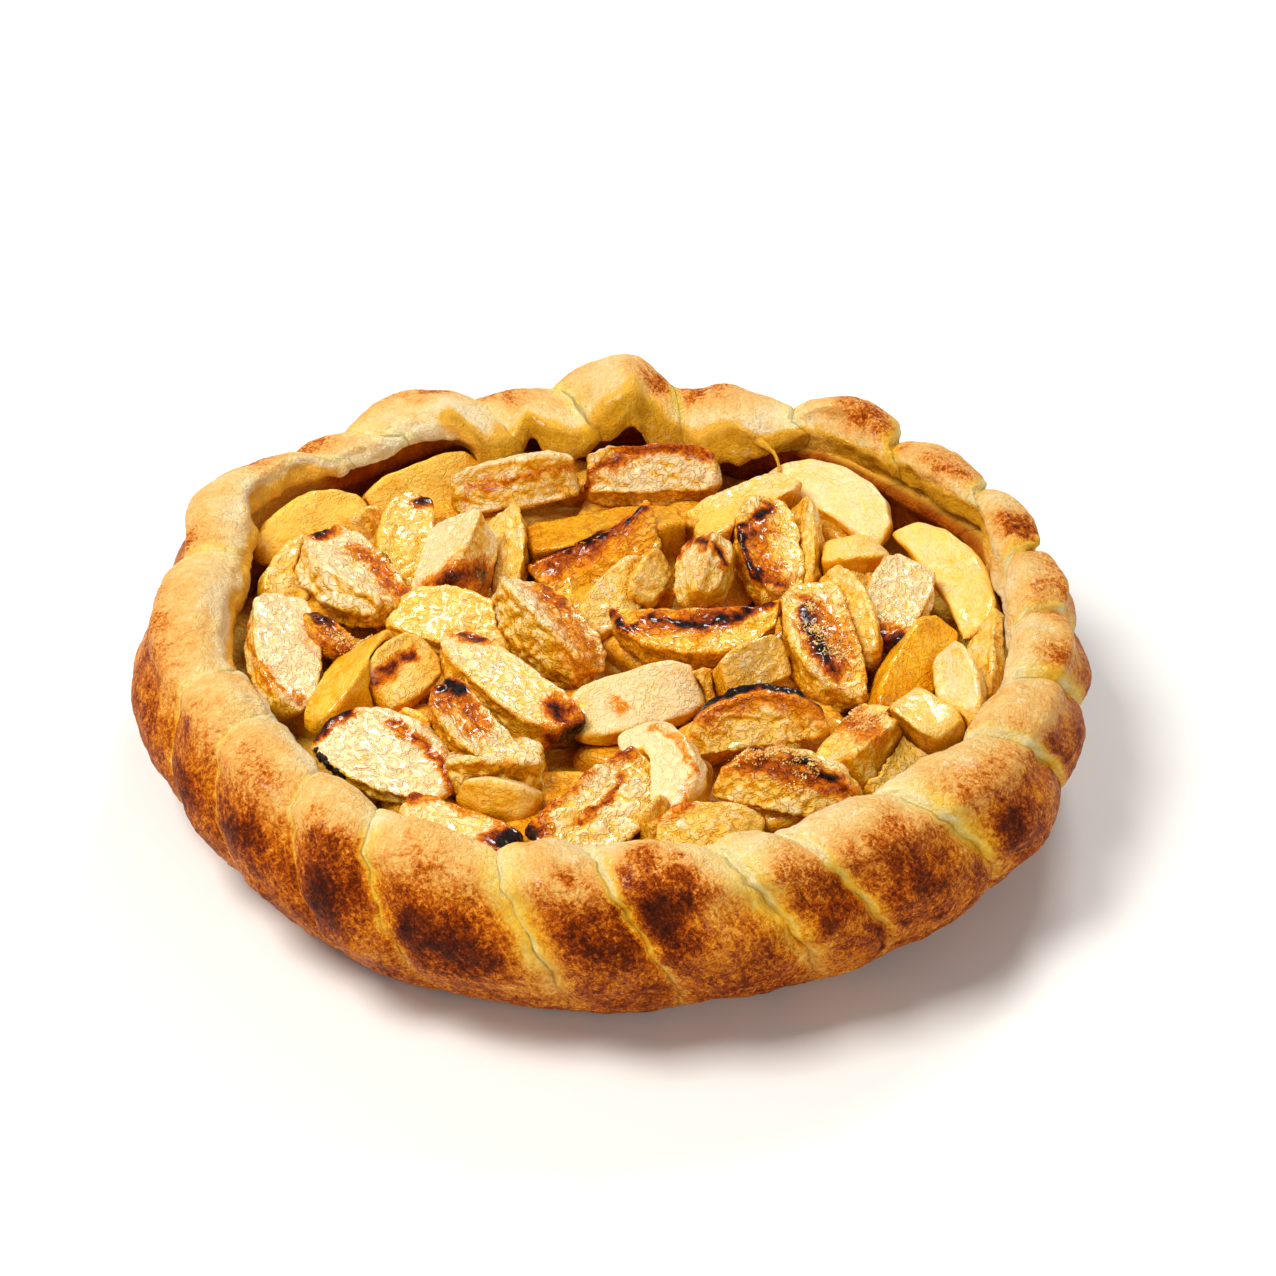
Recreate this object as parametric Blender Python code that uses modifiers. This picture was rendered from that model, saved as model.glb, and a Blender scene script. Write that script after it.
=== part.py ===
"""A rustic apple tart, baked free-standing: a crust with a thick twisted rim, folded in over apple wedges.

Metres, +Z up. The origin is on the table under the middle of the tart. Headings are degrees from +X
towards +Y, seen from above. The crust and the apple pieces are each one closed solid.
"""

import math
import random

import bmesh
import bpy
import numpy as np
from mathutils import Vector

MM = 0.001

# The crust's floor, and the clear gap that stays between two solids that touch
FLOOR_THICKNESS = 6.5 * MM
GAP = 0.5 * MM

# The rim is not quite round: heading, radius and height of the crest, then the radii of the belly and the
# foot, in millimetres
OUTLINE = (
    (-173, 116, 51, 127, 107), (-155, 111, 51, 124.5, 107), (-141, 110, 51, 123, 104),
    (-121, 110, 50.5, 124, 107), (-104, 109.5, 50.5, 121.5, 103), (-92, 109.5, 50.5, 122, 104.5),
    (-76, 110, 50.5, 121, 101.5), (-55, 111.5, 50.5, 124, 106), (-32, 113.5, 50.5, 127, 109.5),
    (-15, 115, 50.5, 126, 108), (5, 116, 51, 126, 106), (24, 118, 51.5, 126, 106), (40, 112.5, 52, 122, 105),
    (62, 107, 50, 121, 105), (80, 108, 51, 121, 105), (100, 104.5, 49, 119.5, 104),
    (130, 110, 50.5, 122, 105), (147, 118, 51.5, 125.5, 106), (157, 122, 52.5, 128, 106),
    (168, 117, 51, 125.5, 106),
)

# The twisted rim: each fold starts at a crease, given by its heading on the crest, and is puffed up by so
# many millimetres
FOLDS = (
    (-164, 4.0), (-152, 4.5), (-136, 5.0), (-124, 5.5), (-105.5, 5.0), (-92, 6.0), (-75, 5.5), (-65, 6.0),
    (-48, 6.0), (-30, 5.5), (-16, 5.5), (-2, 5.5), (12, 5.0), (27, 5.0), (43, 9.5), (60.5, 3.5), (80, 11.0),
    (96.5, 4.0), (111, 8.0), (130.5, 3.0), (140, 6.0), (168, 6.0),
)
# Where the steps of the mesh lie across a fold, from crease to crease
FOLD_STEPS = (0.0, 0.14, 0.36, 0.62, 0.86)

# The inner edge of the rim: heading, radius and height in millimetres. At the back it arches and droops
LIP_EDGE = (
    (-173, 105, 44), (-163, 100, 44), (-153, 98, 44), (-138, 98, 43), (-122, 100, 42.5), (-114, 101, 41.5),
    (-107, 101, 39.5), (-103.5, 97, 41), (-98, 92, 43), (-88, 96, 44), (-72, 99, 45), (-60, 99, 45),
    (-48, 101, 46), (-34, 105, 45),
    (-24, 106, 43), (-12, 108, 44), (2, 108, 44), (14, 110, 45), (24, 113, 48), (32, 109, 48), (42, 106, 48),
    (50, 108, 50), (56, 105, 50), (62, 97, 43), (68, 94, 41), (75, 90, 38), (82, 90, 40), (86, 92, 52),
    (91, 89, 48), (98, 86, 43), (101.5, 87, 44), (105, 94, 47), (109, 88, 43), (113.5, 88, 43),
    (119, 98, 51), (125, 101, 51), (131, 102, 49), (137, 105, 48), (147, 113, 50), (155, 115, 50),
    (160, 108, 46), (169, 105, 44),
)

# How far each row of the crust's section is carried round by the twist, in degrees, and its share of the
# puff. The rows run from the middle of the base, up the outside, over the crest and back down the inside
SECTION_ROWS = (
    (10.5, 0.0), (10.5, 0.0), (10.5, 0.0), (10.5, 0.15), (10, 0.45), (8.5, 0.8), (6, 1.0), (3.5, 1.0),
    (1.5, 1.0), (0, 1.0), (-1.5, 0.75), (-3.5, 0.35), (-4, 0.2), (-4, 0.0), (-3, 0.1), (-1, 0.1), (0, 0.0),
    (0, 0.0), (0, 0.0), (0, 0.0), (0, 0.0),
)
FIRST_INNER_ROW = 13
STEPS_ROUND = len(FOLDS) * len(FOLD_STEPS)

# Under the inner edge the dough hangs a little lower than this height before it meets the wall inside
WALL_TOP = 43 * MM
# Where the edge hardly overhangs, its underside stops this short of the wall, so that no slit opens there. It
# may run so many times farther out as it drops, and keeps at least this much width
SHORT_OF_WALL = 0.5 * MM
RUN_PER_DROP = 6
UNDERSIDE = 0.7 * MM

# The room that the pieces are cut to runs from the middle of the dough up to well above the tart
MID_DOUGH = 3 * MM
SKY = 90 * MM

# The apple bed under the pieces that show: its height, its fall near the crust, the height of its lumps,
# the lengths of the three waves that make them, the radii of its rings and the crust rows its wall follows
BED_TOP = 31 * MM
BED_EDGE_DROP = 5 * MM
BED_RIM = 101 * MM
BED_LUMP = 1.6 * MM
LUMP_LENGTHS = (9 * MM, 8 * MM, 5.5 * MM)
BED_RADII = (98 * MM, 80 * MM, 60 * MM, 38 * MM, 18 * MM)
BED_WALL_ROWS = (19, 18, 17, 16)
BED_EVERY = 2

# A piece of apple: eight points round its section and seven spans along it. On the line from core to peel,
# its core corners lie at CORE_FACE, its flanks at FLANK and its peel corners short of the peel by PEEL_CROWN
PIECE_SIDES = 8
PIECE_SPANS = 7
CORE_TIP = 0.05
CORE_FACE = 0.02
FLANK = 0.44
PEEL_CROWN = 0.16
# How thick a piece is at its core, as a share of its thickness at the peel
CORE_SHARE = 0.3
# No two pieces are quite straight: how far one may bow, and be twisted from tip to tip, at most
MOST_BOW = 1.5 * MM
MOST_TWIST = math.radians(12)
# A piece that shows less than this isn't kept
SMALLEST_PIECE = 300 * MM**3
SHARP_CORNER = math.radians(35)
# How far apart vertices are welded and how flat a corner is smoothed away after trimming, each with a finer
# fallback
TIDYING = ((0.04 * MM, 0.03), (0.02 * MM, 0.015), (0.002 * MM, 0.0))

# The apple pieces, the topmost first: name, both tips in millimetres, heading and pitch of the peeled side,
# how far the peeled side and the core side lie from the line between the tips, spread, bluntness of the tips
PIECES = (
    ("wedge_dark_top", (-2, 1, 51), (46, 4, 52), (-90, -30), 22, 3, 50, 2.2),
    ("wedge_dark_ridge", (-26, 32, 43), (9, 44, 56), (-85, -55), 22, 2, 36, 3.0),
    ("wedge_black_rim", (19, -53, 40), (57, -46, 43), (90, 50), 17, 0, 32, 2.2),
    ("wedge_sugared_front", (25, -68, 41), (64, -76, 39), (80, 45), 16, -2, 44, 2.4),
    ("wedge_sugared_right", (59, 14, 49), (66, -32, 43), (180, -15), 17, -4, 52, 2.8),
    ("wedge_scorched_face", (47, 50, 51), (51, 13, 43), (185, -10), 16, -4, 58, 2.4),
    ("wedge_upright", (25, 32, 51), (21, 10, 44), (45, 30), 11, -6, 45, 2.8),
    ("wedge_charred_tip", (-43, -35, 53), (-22, -65, 44), (-140, -15), 14, -3, 55, 2.4),
    ("wedge_long_middle", (-42, -8, 48), (-7, -44, 46), (-130, -20), 16, -3, 55, 2.6),
    ("slice_flat_left", (-78, -49, 45), (-42, -70, 43), (70, 15), 16, -9, 34, 2.2),
    ("wedge_front_left", (-53, -72, 44), (-23, -89, 43), (-105, -30), 11, -3, 65, 3.0),
    ("wedge_glazed_front", (-23, -85, 42), (6, -54, 46), (-40, -38), 21, -3, 40, 2.2),
    ("wedge_below_tip", (-44, -61, 44), (-18, -60, 45), (-90, -10), 10, -7, 65, 3.4),
    ("wedge_wrinkled_middle", (-29, 13, 48), (-4, -21, 45), (-135, 0), 13, -7, 65, 2.6),
    ("wedge_toasted_end", (-43, 43, 47), (-49, 9, 45), (0, 10), 12, -9, 62, 4.0),
    ("slice_wrinkled_left", (-82, 42, 47), (-58, 6, 45), (-140, 0), 17, -8, 38, 2.4),
    ("slice_pale_left", (-91, 14, 44), (-84, -33, 41), (180, 0), 13, -8, 42, 2.6),
    ("chunk_back_left", (-47, 58, 44), (-10, 68, 46), (95, 45), 11, -5, 60, 4.0),
    ("chunk_back_middle", (-9, 69, 43), (31, 72, 43), (90, 20), 9, -5, 80, 4.0),
    ("wedge_toasted_right", (87, 25, 45), (75, -7, 41), (195, -10), 13, -6, 52, 3.4),
    ("scrap_brown_left", (-83, 2, 47), (-70, -12, 45), (-120, -20), 7, -3, 80, 2.2),
    ("knob_right", (77, -34, 44), (91, -46, 42), (-70, -20), 10, -6, 80, 4.0),
    ("cone_right", (90, -13, 45), (93, -45, 41), (0, 10), 8, -6, 70, 2.4),
    ("chunk_sugared_right", (54, -61, 41), (69, -34, 42), (-30, 0), 14, -5, 60, 4.0),
    ("wedge_front_edge", (10, -87, 41), (39, -85, 41), (90, 20), 8, -6, 70, 2.6),
    ("slab_middle", (-12, -41, 41), (24, -23, 41), (95, 10), 11, -9, 45, 3.0),
    ("wedge_pointed_back", (-54, 60, 46), (-59, 17, 40), (180, 0), 12, -5, 50, 2.6),
    ("wedge_amber_left", (-63, -33, 43), (-48, -16, 47), (140, 20), 12, -7, 45, 2.8),
    ("wedge_smooth_left", (-81, -41, 40), (-63, -3, 41), (-40, 10), 14, -6, 60, 2.4),
    ("wedge_behind_sugar", (60, 23, 44), (69, -14, 41), (15, 10), 8, -6, 70, 2.4),
    ("wedge_beside_scorch", (54, 57, 44), (52, 16, 41), (0, 10), 7, -5, 80, 2.6),
    ("chunk_back_right", (20, 50, 43), (51, 71, 43), (-80, -20), 12, -4, 65, 3.4),
    ("chunk_amber_back", (-27, 44, 42), (20, 54, 42), (-88, -20), 14, -4, 65, 4.0),
    ("wedge_pale_back", (24, 39, 44), (46, 60, 44), (-60, -10), 10, -8, 60, 2.6),
    ("slice_pale_front", (2, -45, 43), (13, -78, 41), (20, 10), 17, -4, 34, 2.2),
    ("slice_large_back", (42, 76, 41), (75, 43, 39), (60, 5), 20, 0, 34, 2.4),
    ("chunk_pale_right", (54, 29, 43), (75, 40, 42), (-75, -15), 11, -5, 65, 3.4),
    ("slice_large_right", (77, 50, 40), (95, 0, 39), (35, 0), 21, 3, 30, 2.4),
    ("wedge_green_right", (93, 5, 41), (72, -41, 39), (170, 15), 11, -6, 50, 2.6),
    ("chunk_behind_rim", (28, -27, 43), (47, -16, 43), (100, 20), 8, -5, 80, 3.6),
    ("wedge_under_long", (-63, 4, 43), (-27, -8, 43), (90, 10), 13, -6, 50, 2.4),
    ("scrap_front_left", (-58, -41, 43), (-45, -55, 42), (60, 20), 6, -4, 80, 2.4),
    ("wedge_low_back", (-31, 56, 40), (-32, 23, 36), (0, 0), 8, -6, 80, 3.0),
    ("slice_low_middle", (-7, 1, 41), (10, 29, 43), (150, 10), 9, -7, 50, 2.6),
    ("scrap_low_middle", (5, 12, 42), (14, 31, 43), (150, 20), 6, -5, 80, 2.6),
    ("wedge_low_front", (-41, -66, 41), (-18, -71, 41), (-95, 0), 8, -6, 70, 2.4),
    ("slice_wall_left", (-101, 37, 38), (-70, 64, 38), (120, 15), 13, -4, 45, 2.4),
    ("slice_wall_back", (-73, 61, 37), (-28, 84, 37), (100, 25), 13, -4, 45, 2.6),
    ("slice_wall_right", (106, 12, 39), (99, -31, 39), (0, 25), 6, -7, 60, 2.6),
    ("slice_front_right", (65, -66, 39), (83, -45, 39), (140, 15), 11, -8, 50, 2.6),
    ("slice_low_left", (-96, 17, 38), (-80, 43, 40), (140, 10), 10, -8, 45, 2.6),
    ("scrap_low_left", (-76, 47, 38), (-66, 55, 38), (100, 20), 6, -6, 80, 2.6),
    ("slice_low_right", (66, 18, 38), (78, 40, 38), (150, 10), 8, -6, 60, 2.6),
    ("scrap_low_rim", (18, -26, 37), (30, -20, 37), (90, 20), 6, -6, 80, 3.0),
    ("scrap_low_front", (5, -80, 36), (15, -73, 36), (90, 20), 6, -7, 80, 2.6),
)

CRUST_COLOUR = (0.62, 0.31, 0.09)
APPLE_COLOUR = (0.83, 0.55, 0.16)
BED_COLOUR = (0.60, 0.33, 0.07)


def clear_scene():
    for item in list(bpy.data.objects):
        bpy.data.objects.remove(item, do_unlink=True)


def material(name, colour, roughness):
    made = bpy.data.materials.new(name)
    made.use_nodes = True
    shader = made.node_tree.nodes["Principled BSDF"]
    shader.inputs["Base Color"].default_value = (*colour, 1.0)
    shader.inputs["Roughness"].default_value = roughness
    shader.inputs["Metallic"].default_value = 0.0
    return made


def collection(name):
    made = bpy.data.collections.new(name)
    bpy.context.scene.collection.children.link(made)
    return made


def new_object(name, mesh, group):
    made = bpy.data.objects.new(name, mesh)
    group.objects.link(made)
    return made


def evaluated_mesh(item):
    """The object's mesh with its modifiers applied."""
    bpy.context.view_layer.update()
    graph = bpy.context.evaluated_depsgraph_get()
    return bpy.data.meshes.new_from_object(item.evaluated_get(graph))


def points_of(mesh):
    flat = np.empty(len(mesh.vertices) * 3)
    mesh.vertices.foreach_get("co", flat)
    return flat.reshape(-1, 3)


def around(heading, table, column):
    """A column of a table of (heading, ...) rows, eased smoothly from row to row all the way round."""
    angles = [row[0] for row in table]
    values = [row[column] for row in table]
    turned = (heading - angles[0]) % 360
    starts = [angle - angles[0] for angle in angles] + [360]
    k = max(i for i in range(len(angles)) if starts[i] <= turned)
    share = (turned - starts[k]) / (starts[k + 1] - starts[k])
    eased = share * share * (3 - 2 * share)
    return values[k] + (values[(k + 1) % len(values)] - values[k]) * eased


def crust_section(heading):
    """The crust cut through at a heading, without its folds: (radius, height) row by row."""
    edge_r = around(heading, LIP_EDGE, 1) * MM
    edge_z = around(heading, LIP_EDGE, 2) * MM
    crest_r, crest_z, belly, foot = (around(heading, OUTLINE, column) * MM for column in (1, 2, 3, 4))
    run = belly - foot
    wall_r = belly - 16 * MM
    under_z = edge_z - 2.6 * MM
    roof_z = (edge_z + WALL_TOP) / 2 - 1.5 * MM
    most_r = wall_r - SHORT_OF_WALL + RUN_PER_DROP * max(under_z - roof_z, 0)
    roof_r = min((crest_r + edge_r) / 2 + 1 * MM, most_r)
    under_r = min(edge_r + 2.6 * MM, roof_r - UNDERSIDE)
    return np.array([
        (0, 0),
        (foot - 16 * MM, 0),
        (foot, 0.6 * MM),
        (foot + 0.46 * run, 7 * MM),
        (foot + 0.8 * run, 16 * MM),
        (belly, 27 * MM),
        (belly - 0.8 * MM, 36 * MM),
        (belly - 5 * MM, 44 * MM),
        ((belly - 5 * MM + crest_r) / 2 + 2 * MM, crest_z - 1.8 * MM),
        (crest_r - 2 * MM, crest_z),
        ((crest_r + edge_r) / 2 - 1 * MM, (crest_z + edge_z) / 2 + 1.8 * MM),
        (edge_r + 1.2 * MM, edge_z + 1.6 * MM),
        (edge_r, edge_z - 1.2 * MM),
        (under_r, under_z),
        (roof_r, roof_z),
        (wall_r, 41 * MM),
        (belly - 11.5 * MM, 32 * MM),
        (belly - 14 * MM, 19 * MM),
        (foot - 7 * MM, 9.5 * MM),
        (foot - 19 * MM, FLOOR_THICKNESS),
        (0, FLOOR_THICKNESS),
    ])


def outward(section, row):
    """The direction that points out of the dough at a row of the section."""
    before, after = section[max(row - 1, 0)], section[min(row + 1, len(section) - 1)]
    along = (after - before) / np.linalg.norm(after - before)
    return np.array((along[1], -along[0]))


def fold_at(step):
    """(fold, share of the way across it) of one of the crust's steps round."""
    return step // len(FOLD_STEPS), FOLD_STEPS[step % len(FOLD_STEPS)]


def fold_puff(share):
    """How far a fold is puffed between its creases: a full rope strand, a little steeper at its start."""
    return math.sin(math.pi * share**0.9) ** 0.85


def crust_point(step, row, gap=0.0):
    """Where the crust's vertex at a step round and a row of the section lies, or the point a gap off it."""
    fold, share = fold_at(step)
    start, puff = FOLDS[fold]
    width = (FOLDS[(fold + 1) % len(FOLDS)][0] - start) % 360
    twist, portion = SECTION_ROWS[row]
    heading = start + share * width + twist
    section = crust_section(heading)
    place = section[row] + outward(section, row) * (puff * MM * fold_puff(share) * portion + gap)
    a = math.radians(heading)
    return Vector((place[0] * math.cos(a), place[0] * math.sin(a), place[1]))


def turned(name, profile, steps, group):
    """A closed solid turned from a (radius, height) profile whose first and last points are on the axis."""
    mesh = bpy.data.meshes.new(name)
    points = [(r, 0, z) for r, z in profile]
    mesh.from_pydata(points, [(i, i + 1) for i in range(len(points) - 1)], [])
    item = new_object(name, mesh, group)
    screw = item.modifiers.new("turn", "SCREW")
    screw.axis = "Z"
    screw.steps = screw.render_steps = steps
    screw.use_merge_vertices = True
    screw.merge_threshold = 0.02 * MM
    made = evaluated_mesh(item)
    item.modifiers.clear()
    item.data = made
    return item


def reshape(item, profile, steps, place):
    """Moves each vertex of a turned solid to place(step round, row of the profile)."""
    rows = np.array(profile)
    for vertex in item.data.vertices:
        radius = math.hypot(vertex.co.x, vertex.co.y)
        row = int(np.argmin(np.hypot(rows[:, 0] - radius, rows[:, 1] - vertex.co.z)))
        angle = math.atan2(vertex.co.y, vertex.co.x)
        step = round(angle / (2 * math.pi) * steps) % steps
        vertex.co = place(step, row)
    face_out(item)


def face_out(item):
    """Turns the faces out and makes them triangles, so that a cutter copied from here has the same ones."""
    shape = bmesh.new()
    shape.from_mesh(item.data)
    bmesh.ops.triangulate(shape, faces=shape.faces)
    bmesh.ops.recalc_face_normals(shape, faces=shape.faces)
    if shape.calc_volume(signed=True) < 0:
        bmesh.ops.reverse_faces(shape, faces=shape.faces)
    shape.to_mesh(item.data)
    shape.free()
    item.data.update()


def ring_profile(count):
    """A plain drum's profile with a given number of rows, which reshape then moves to their places."""
    side = 100 * MM
    heights = [side * row / (count - 1) for row in range(count)]
    return [(0, 0), *((side, height) for height in heights[1:-1]), (0, side)]


def build_crust(group):
    profile = ring_profile(len(SECTION_ROWS))
    crust = turned("crust", profile, STEPS_ROUND, group)
    reshape(crust, profile, STEPS_ROUND, crust_point)
    crust.data.shade_smooth()
    return crust


def build_cavity(group):
    """The room inside the crust, out to the middle of the dough and open above the rim. It trims pieces."""
    inner_rows = list(range(FIRST_INNER_ROW, len(SECTION_ROWS)))[::-1]
    count = len(inner_rows) + 3

    def place(step, row):
        if row == 0 or row == count - 1:
            return (0, 0, FLOOR_THICKNESS - MID_DOUGH if row == 0 else SKY)
        if row < len(inner_rows):
            return crust_point(step, inner_rows[row], -MID_DOUGH)
        edge = crust_point(step, FIRST_INNER_ROW - 1, -MID_DOUGH)
        return (edge.x, edge.y, edge.z if row == len(inner_rows) else SKY)

    profile = ring_profile(count)
    cavity = turned("cavity", profile, STEPS_ROUND, group)
    reshape(cavity, profile, STEPS_ROUND, place)
    cavity.hide_render = True
    cavity.display_type = "WIRE"
    return cavity


def bed_height(x, y):
    """The lumpy top of the apple bed, a little lower near the crust."""
    long, wide, slant = LUMP_LENGTHS
    waves = math.sin(x / long + 1.3) * math.cos(y / wide) + 0.6 * math.sin((x + y) / slant)
    fall = min(1.0, math.hypot(x, y) / BED_RIM) ** 4
    return BED_TOP - BED_EDGE_DROP * fall + BED_LUMP * waves


def build_bed(group):
    """The apple that fills the crust below the pieces that show."""
    steps = STEPS_ROUND // BED_EVERY
    wall_count = len(BED_WALL_ROWS)
    count = wall_count + len(BED_RADII) + 2
    off_wall = 2 * GAP

    def place(step, row):
        if row == 0:
            return (0, 0, FLOOR_THICKNESS + off_wall)
        if row == count - 1:
            return (0, 0, bed_height(0, 0))
        if row <= wall_count:
            rows = BED_WALL_ROWS[max(row - 2, 0)], BED_WALL_ROWS[row - 1]
            low, at = (crust_point(step * BED_EVERY, wall_row, off_wall) for wall_row in rows)
            top = BED_TOP - BED_EDGE_DROP
            return at if at.z < top else low + (at - low) * (top - low.z) / (at.z - low.z)
        outwards = crust_point(step * BED_EVERY, BED_WALL_ROWS[-1]).to_2d().normalized()
        x, y = outwards * BED_RADII[row - wall_count - 1]
        return (x, y, bed_height(x, y))

    profile = ring_profile(count)
    bed = turned("apple_bed", profile, steps, group)
    reshape(bed, profile, steps, place)
    bed.data.shade_smooth()
    return bed


def section_of_piece(angle, half_width):
    """A piece's section at an angle round it: (share of the way from core to peel, thickness)."""
    corner = round(angle / (2 * math.pi) * PIECE_SIDES) % PIECE_SIDES
    side = 1 if corner < PIECE_SIDES // 2 else -1
    if corner == 0:
        return 1.0, 0.0
    if corner == PIECE_SIDES // 2:
        return CORE_TIP, 0.0
    if corner in (1, PIECE_SIDES - 1):
        return 1 - PEEL_CROWN, side * half_width
    if corner in (2, PIECE_SIDES - 2):
        return FLANK, side * half_width * (1 + CORE_SHARE) / 2
    return CORE_FACE, side * half_width * CORE_SHARE


def build_piece(index, group):
    """A wedge or slice of apple, drawn out of a ball between its two tips."""
    name, tip_a, tip_b, (heading, pitch), reach, core, spread, blunt = PIECES[index]
    tip_a, tip_b = Vector(tip_a) * MM, Vector(tip_b) * MM
    reach, core = reach * MM, core * MM
    middle = (tip_a + tip_b) / 2
    along = (tip_b - tip_a) / 2
    axis = along.normalized()
    a, e = math.radians(heading), math.radians(pitch)
    peel = Vector((math.cos(a) * math.cos(e), math.sin(a) * math.cos(e), math.sin(e)))
    peel = (peel - axis * peel.dot(axis)).normalized()
    across = axis.cross(peel)
    half_width = (reach - core) * math.tan(math.radians(spread / 2))
    chance = random.Random(index)
    bow = chance.uniform(-MOST_BOW, MOST_BOW)
    twist = chance.uniform(-MOST_TWIST, MOST_TWIST)

    shape = bmesh.new()
    bmesh.ops.create_uvsphere(shape, u_segments=PIECE_SIDES, v_segments=PIECE_SPANS, radius=1.0)
    for vertex in shape.verts:
        t = max(-1.0, min(1.0, vertex.co.z))
        swell = max(0.0, 1 - abs(t) ** blunt) ** (1 / blunt)
        share, thick = section_of_piece(math.atan2(vertex.co.y, vertex.co.x), half_width)
        out = (core + (reach - core) * share) * swell
        thick = thick * swell
        c, s = math.cos(twist * t), math.sin(twist * t)
        out, thick = out * c - thick * s, out * s + thick * c + bow * (1 - t * t)
        vertex.co = middle + along * t + peel * out + across * thick
    mesh = bpy.data.meshes.new(name)
    shape.to_mesh(mesh)
    shape.free()
    piece = new_object(name, mesh, group)
    face_out(piece)
    return piece


def swollen_copy(item, by, group):
    """A copy of a solid grown by a small gap, to cut its neighbours with."""
    mesh = item.data.copy()
    normals = [vertex.normal.copy() for vertex in mesh.vertices]
    for vertex, normal in zip(mesh.vertices, normals):
        vertex.co += normal * by
    copy = new_object(item.name + "_cutter", mesh, group)
    copy.hide_render = True
    copy.display_type = "WIRE"
    return copy


def box_of(item):
    points = points_of(item.data)
    return points.min(0), points.max(0)


def boxes_meet(a, b):
    return bool((a[0] < b[1]).all() and (b[0] < a[1]).all())


def trim(item, cutter, operation):
    modifier = item.modifiers.new(cutter.name, "BOOLEAN")
    modifier.operation = operation
    modifier.object = cutter
    modifier.solver = "MANIFOLD"
    made = evaluated_mesh(item)
    item.modifiers.clear()
    item.data = made


def islands_of(shape):
    """The separate bodies of a mesh as (volume, faces), the largest first."""
    unseen = set(shape.faces)
    islands = []
    while unseen:
        front = [unseen.pop()]
        island = set(front)
        while front:
            for loop in front.pop().loops:
                for face in loop.edge.link_faces:
                    if face in unseen:
                        unseen.remove(face)
                        island.add(face)
                        front.append(face)
        corners = [[loop.vert.co for loop in face.loops] for face in island]
        volume = sum(c[0].dot(c[i].cross(c[i + 1])) / 6 for c in corners for i in range(1, len(c) - 1))
        islands.append((volume, island))
    return sorted(islands, key=lambda pair: -pair[0])


def keep_largest(item):
    """Drops the loose scraps and needless edges that trimming leaves, and returns the volume that stays."""
    for weld, flat in TIDYING:
        shape = bmesh.new()
        shape.from_mesh(item.data)
        bmesh.ops.remove_doubles(shape, verts=shape.verts, dist=weld)
        islands = islands_of(shape)
        for _, island in islands[1:]:
            bmesh.ops.delete(shape, geom=list(island), context="FACES")
        bmesh.ops.dissolve_limit(shape, angle_limit=flat, verts=shape.verts, edges=shape.edges)
        bmesh.ops.triangulate(shape, faces=shape.faces)
        closed = all(len(edge.link_faces) == 2 for edge in shape.edges)
        if closed and islands:
            shape.to_mesh(item.data)
        shape.free()
        if closed:
            return islands[0][0] if islands else 0.0
    return 0.0


def build_pieces(group, helpers, crust, bed):
    """All the apple pieces. Each is trimmed by those that lie on it, by the bed and by the crust."""
    cutters = []
    cavity = build_cavity(helpers)
    bed_cutter = swollen_copy(bed, GAP, helpers)
    crust_cutter = swollen_copy(crust, GAP, helpers)
    pieces = []
    for index in range(len(PIECES)):
        piece = build_piece(index, group)
        cutter = swollen_copy(piece, GAP, helpers)
        box = box_of(piece)
        trim(piece, cavity, "INTERSECT")
        trim(piece, crust_cutter, "DIFFERENCE")
        trim(piece, bed_cutter, "DIFFERENCE")
        for other in cutters:
            if boxes_meet(box, box_of(other)):
                trim(piece, other, "DIFFERENCE")
        if len(piece.data.polygons) and keep_largest(piece) > SMALLEST_PIECE:
            piece.data.shade_smooth()
            piece.data.set_sharp_from_angle(angle=SHARP_CORNER)
            pieces.append(piece)
        else:
            bpy.data.objects.remove(piece, do_unlink=True)
        cutters.append(cutter)
    return pieces


def paint(items, made):
    for item in items:
        item.data.materials.clear()
        item.data.materials.append(made)


def build_tart():
    clear_scene()
    tart = collection("apple_tart")
    helpers = collection("cutters")
    crust = build_crust(tart)
    bed = build_bed(tart)
    pieces = build_pieces(tart, helpers, crust, bed)
    paint([crust], material("baked_crust", CRUST_COLOUR, 0.45))
    paint([bed], material("soft_apple", BED_COLOUR, 0.5))
    paint(pieces, material("baked_apple", APPLE_COLOUR, 0.35))
    for item in list(helpers.objects):
        bpy.data.objects.remove(item, do_unlink=True)


build_tart()
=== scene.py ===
"""How the apple tart looks: a golden twisted crust, folded in over baked apple, with a few sugared pieces.

The CAD solids give every place and size, and each apple piece here is grown from its own solid. Lengths
are metres, and the sizes of patterns millimetres. Points of the picture are pixels of its 1276 by 1276 frame.
"""

import math

import bmesh
import bpy
import numpy as np
from mathutils import Matrix, Vector
from mathutils.bvhtree import BVHTree


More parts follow.
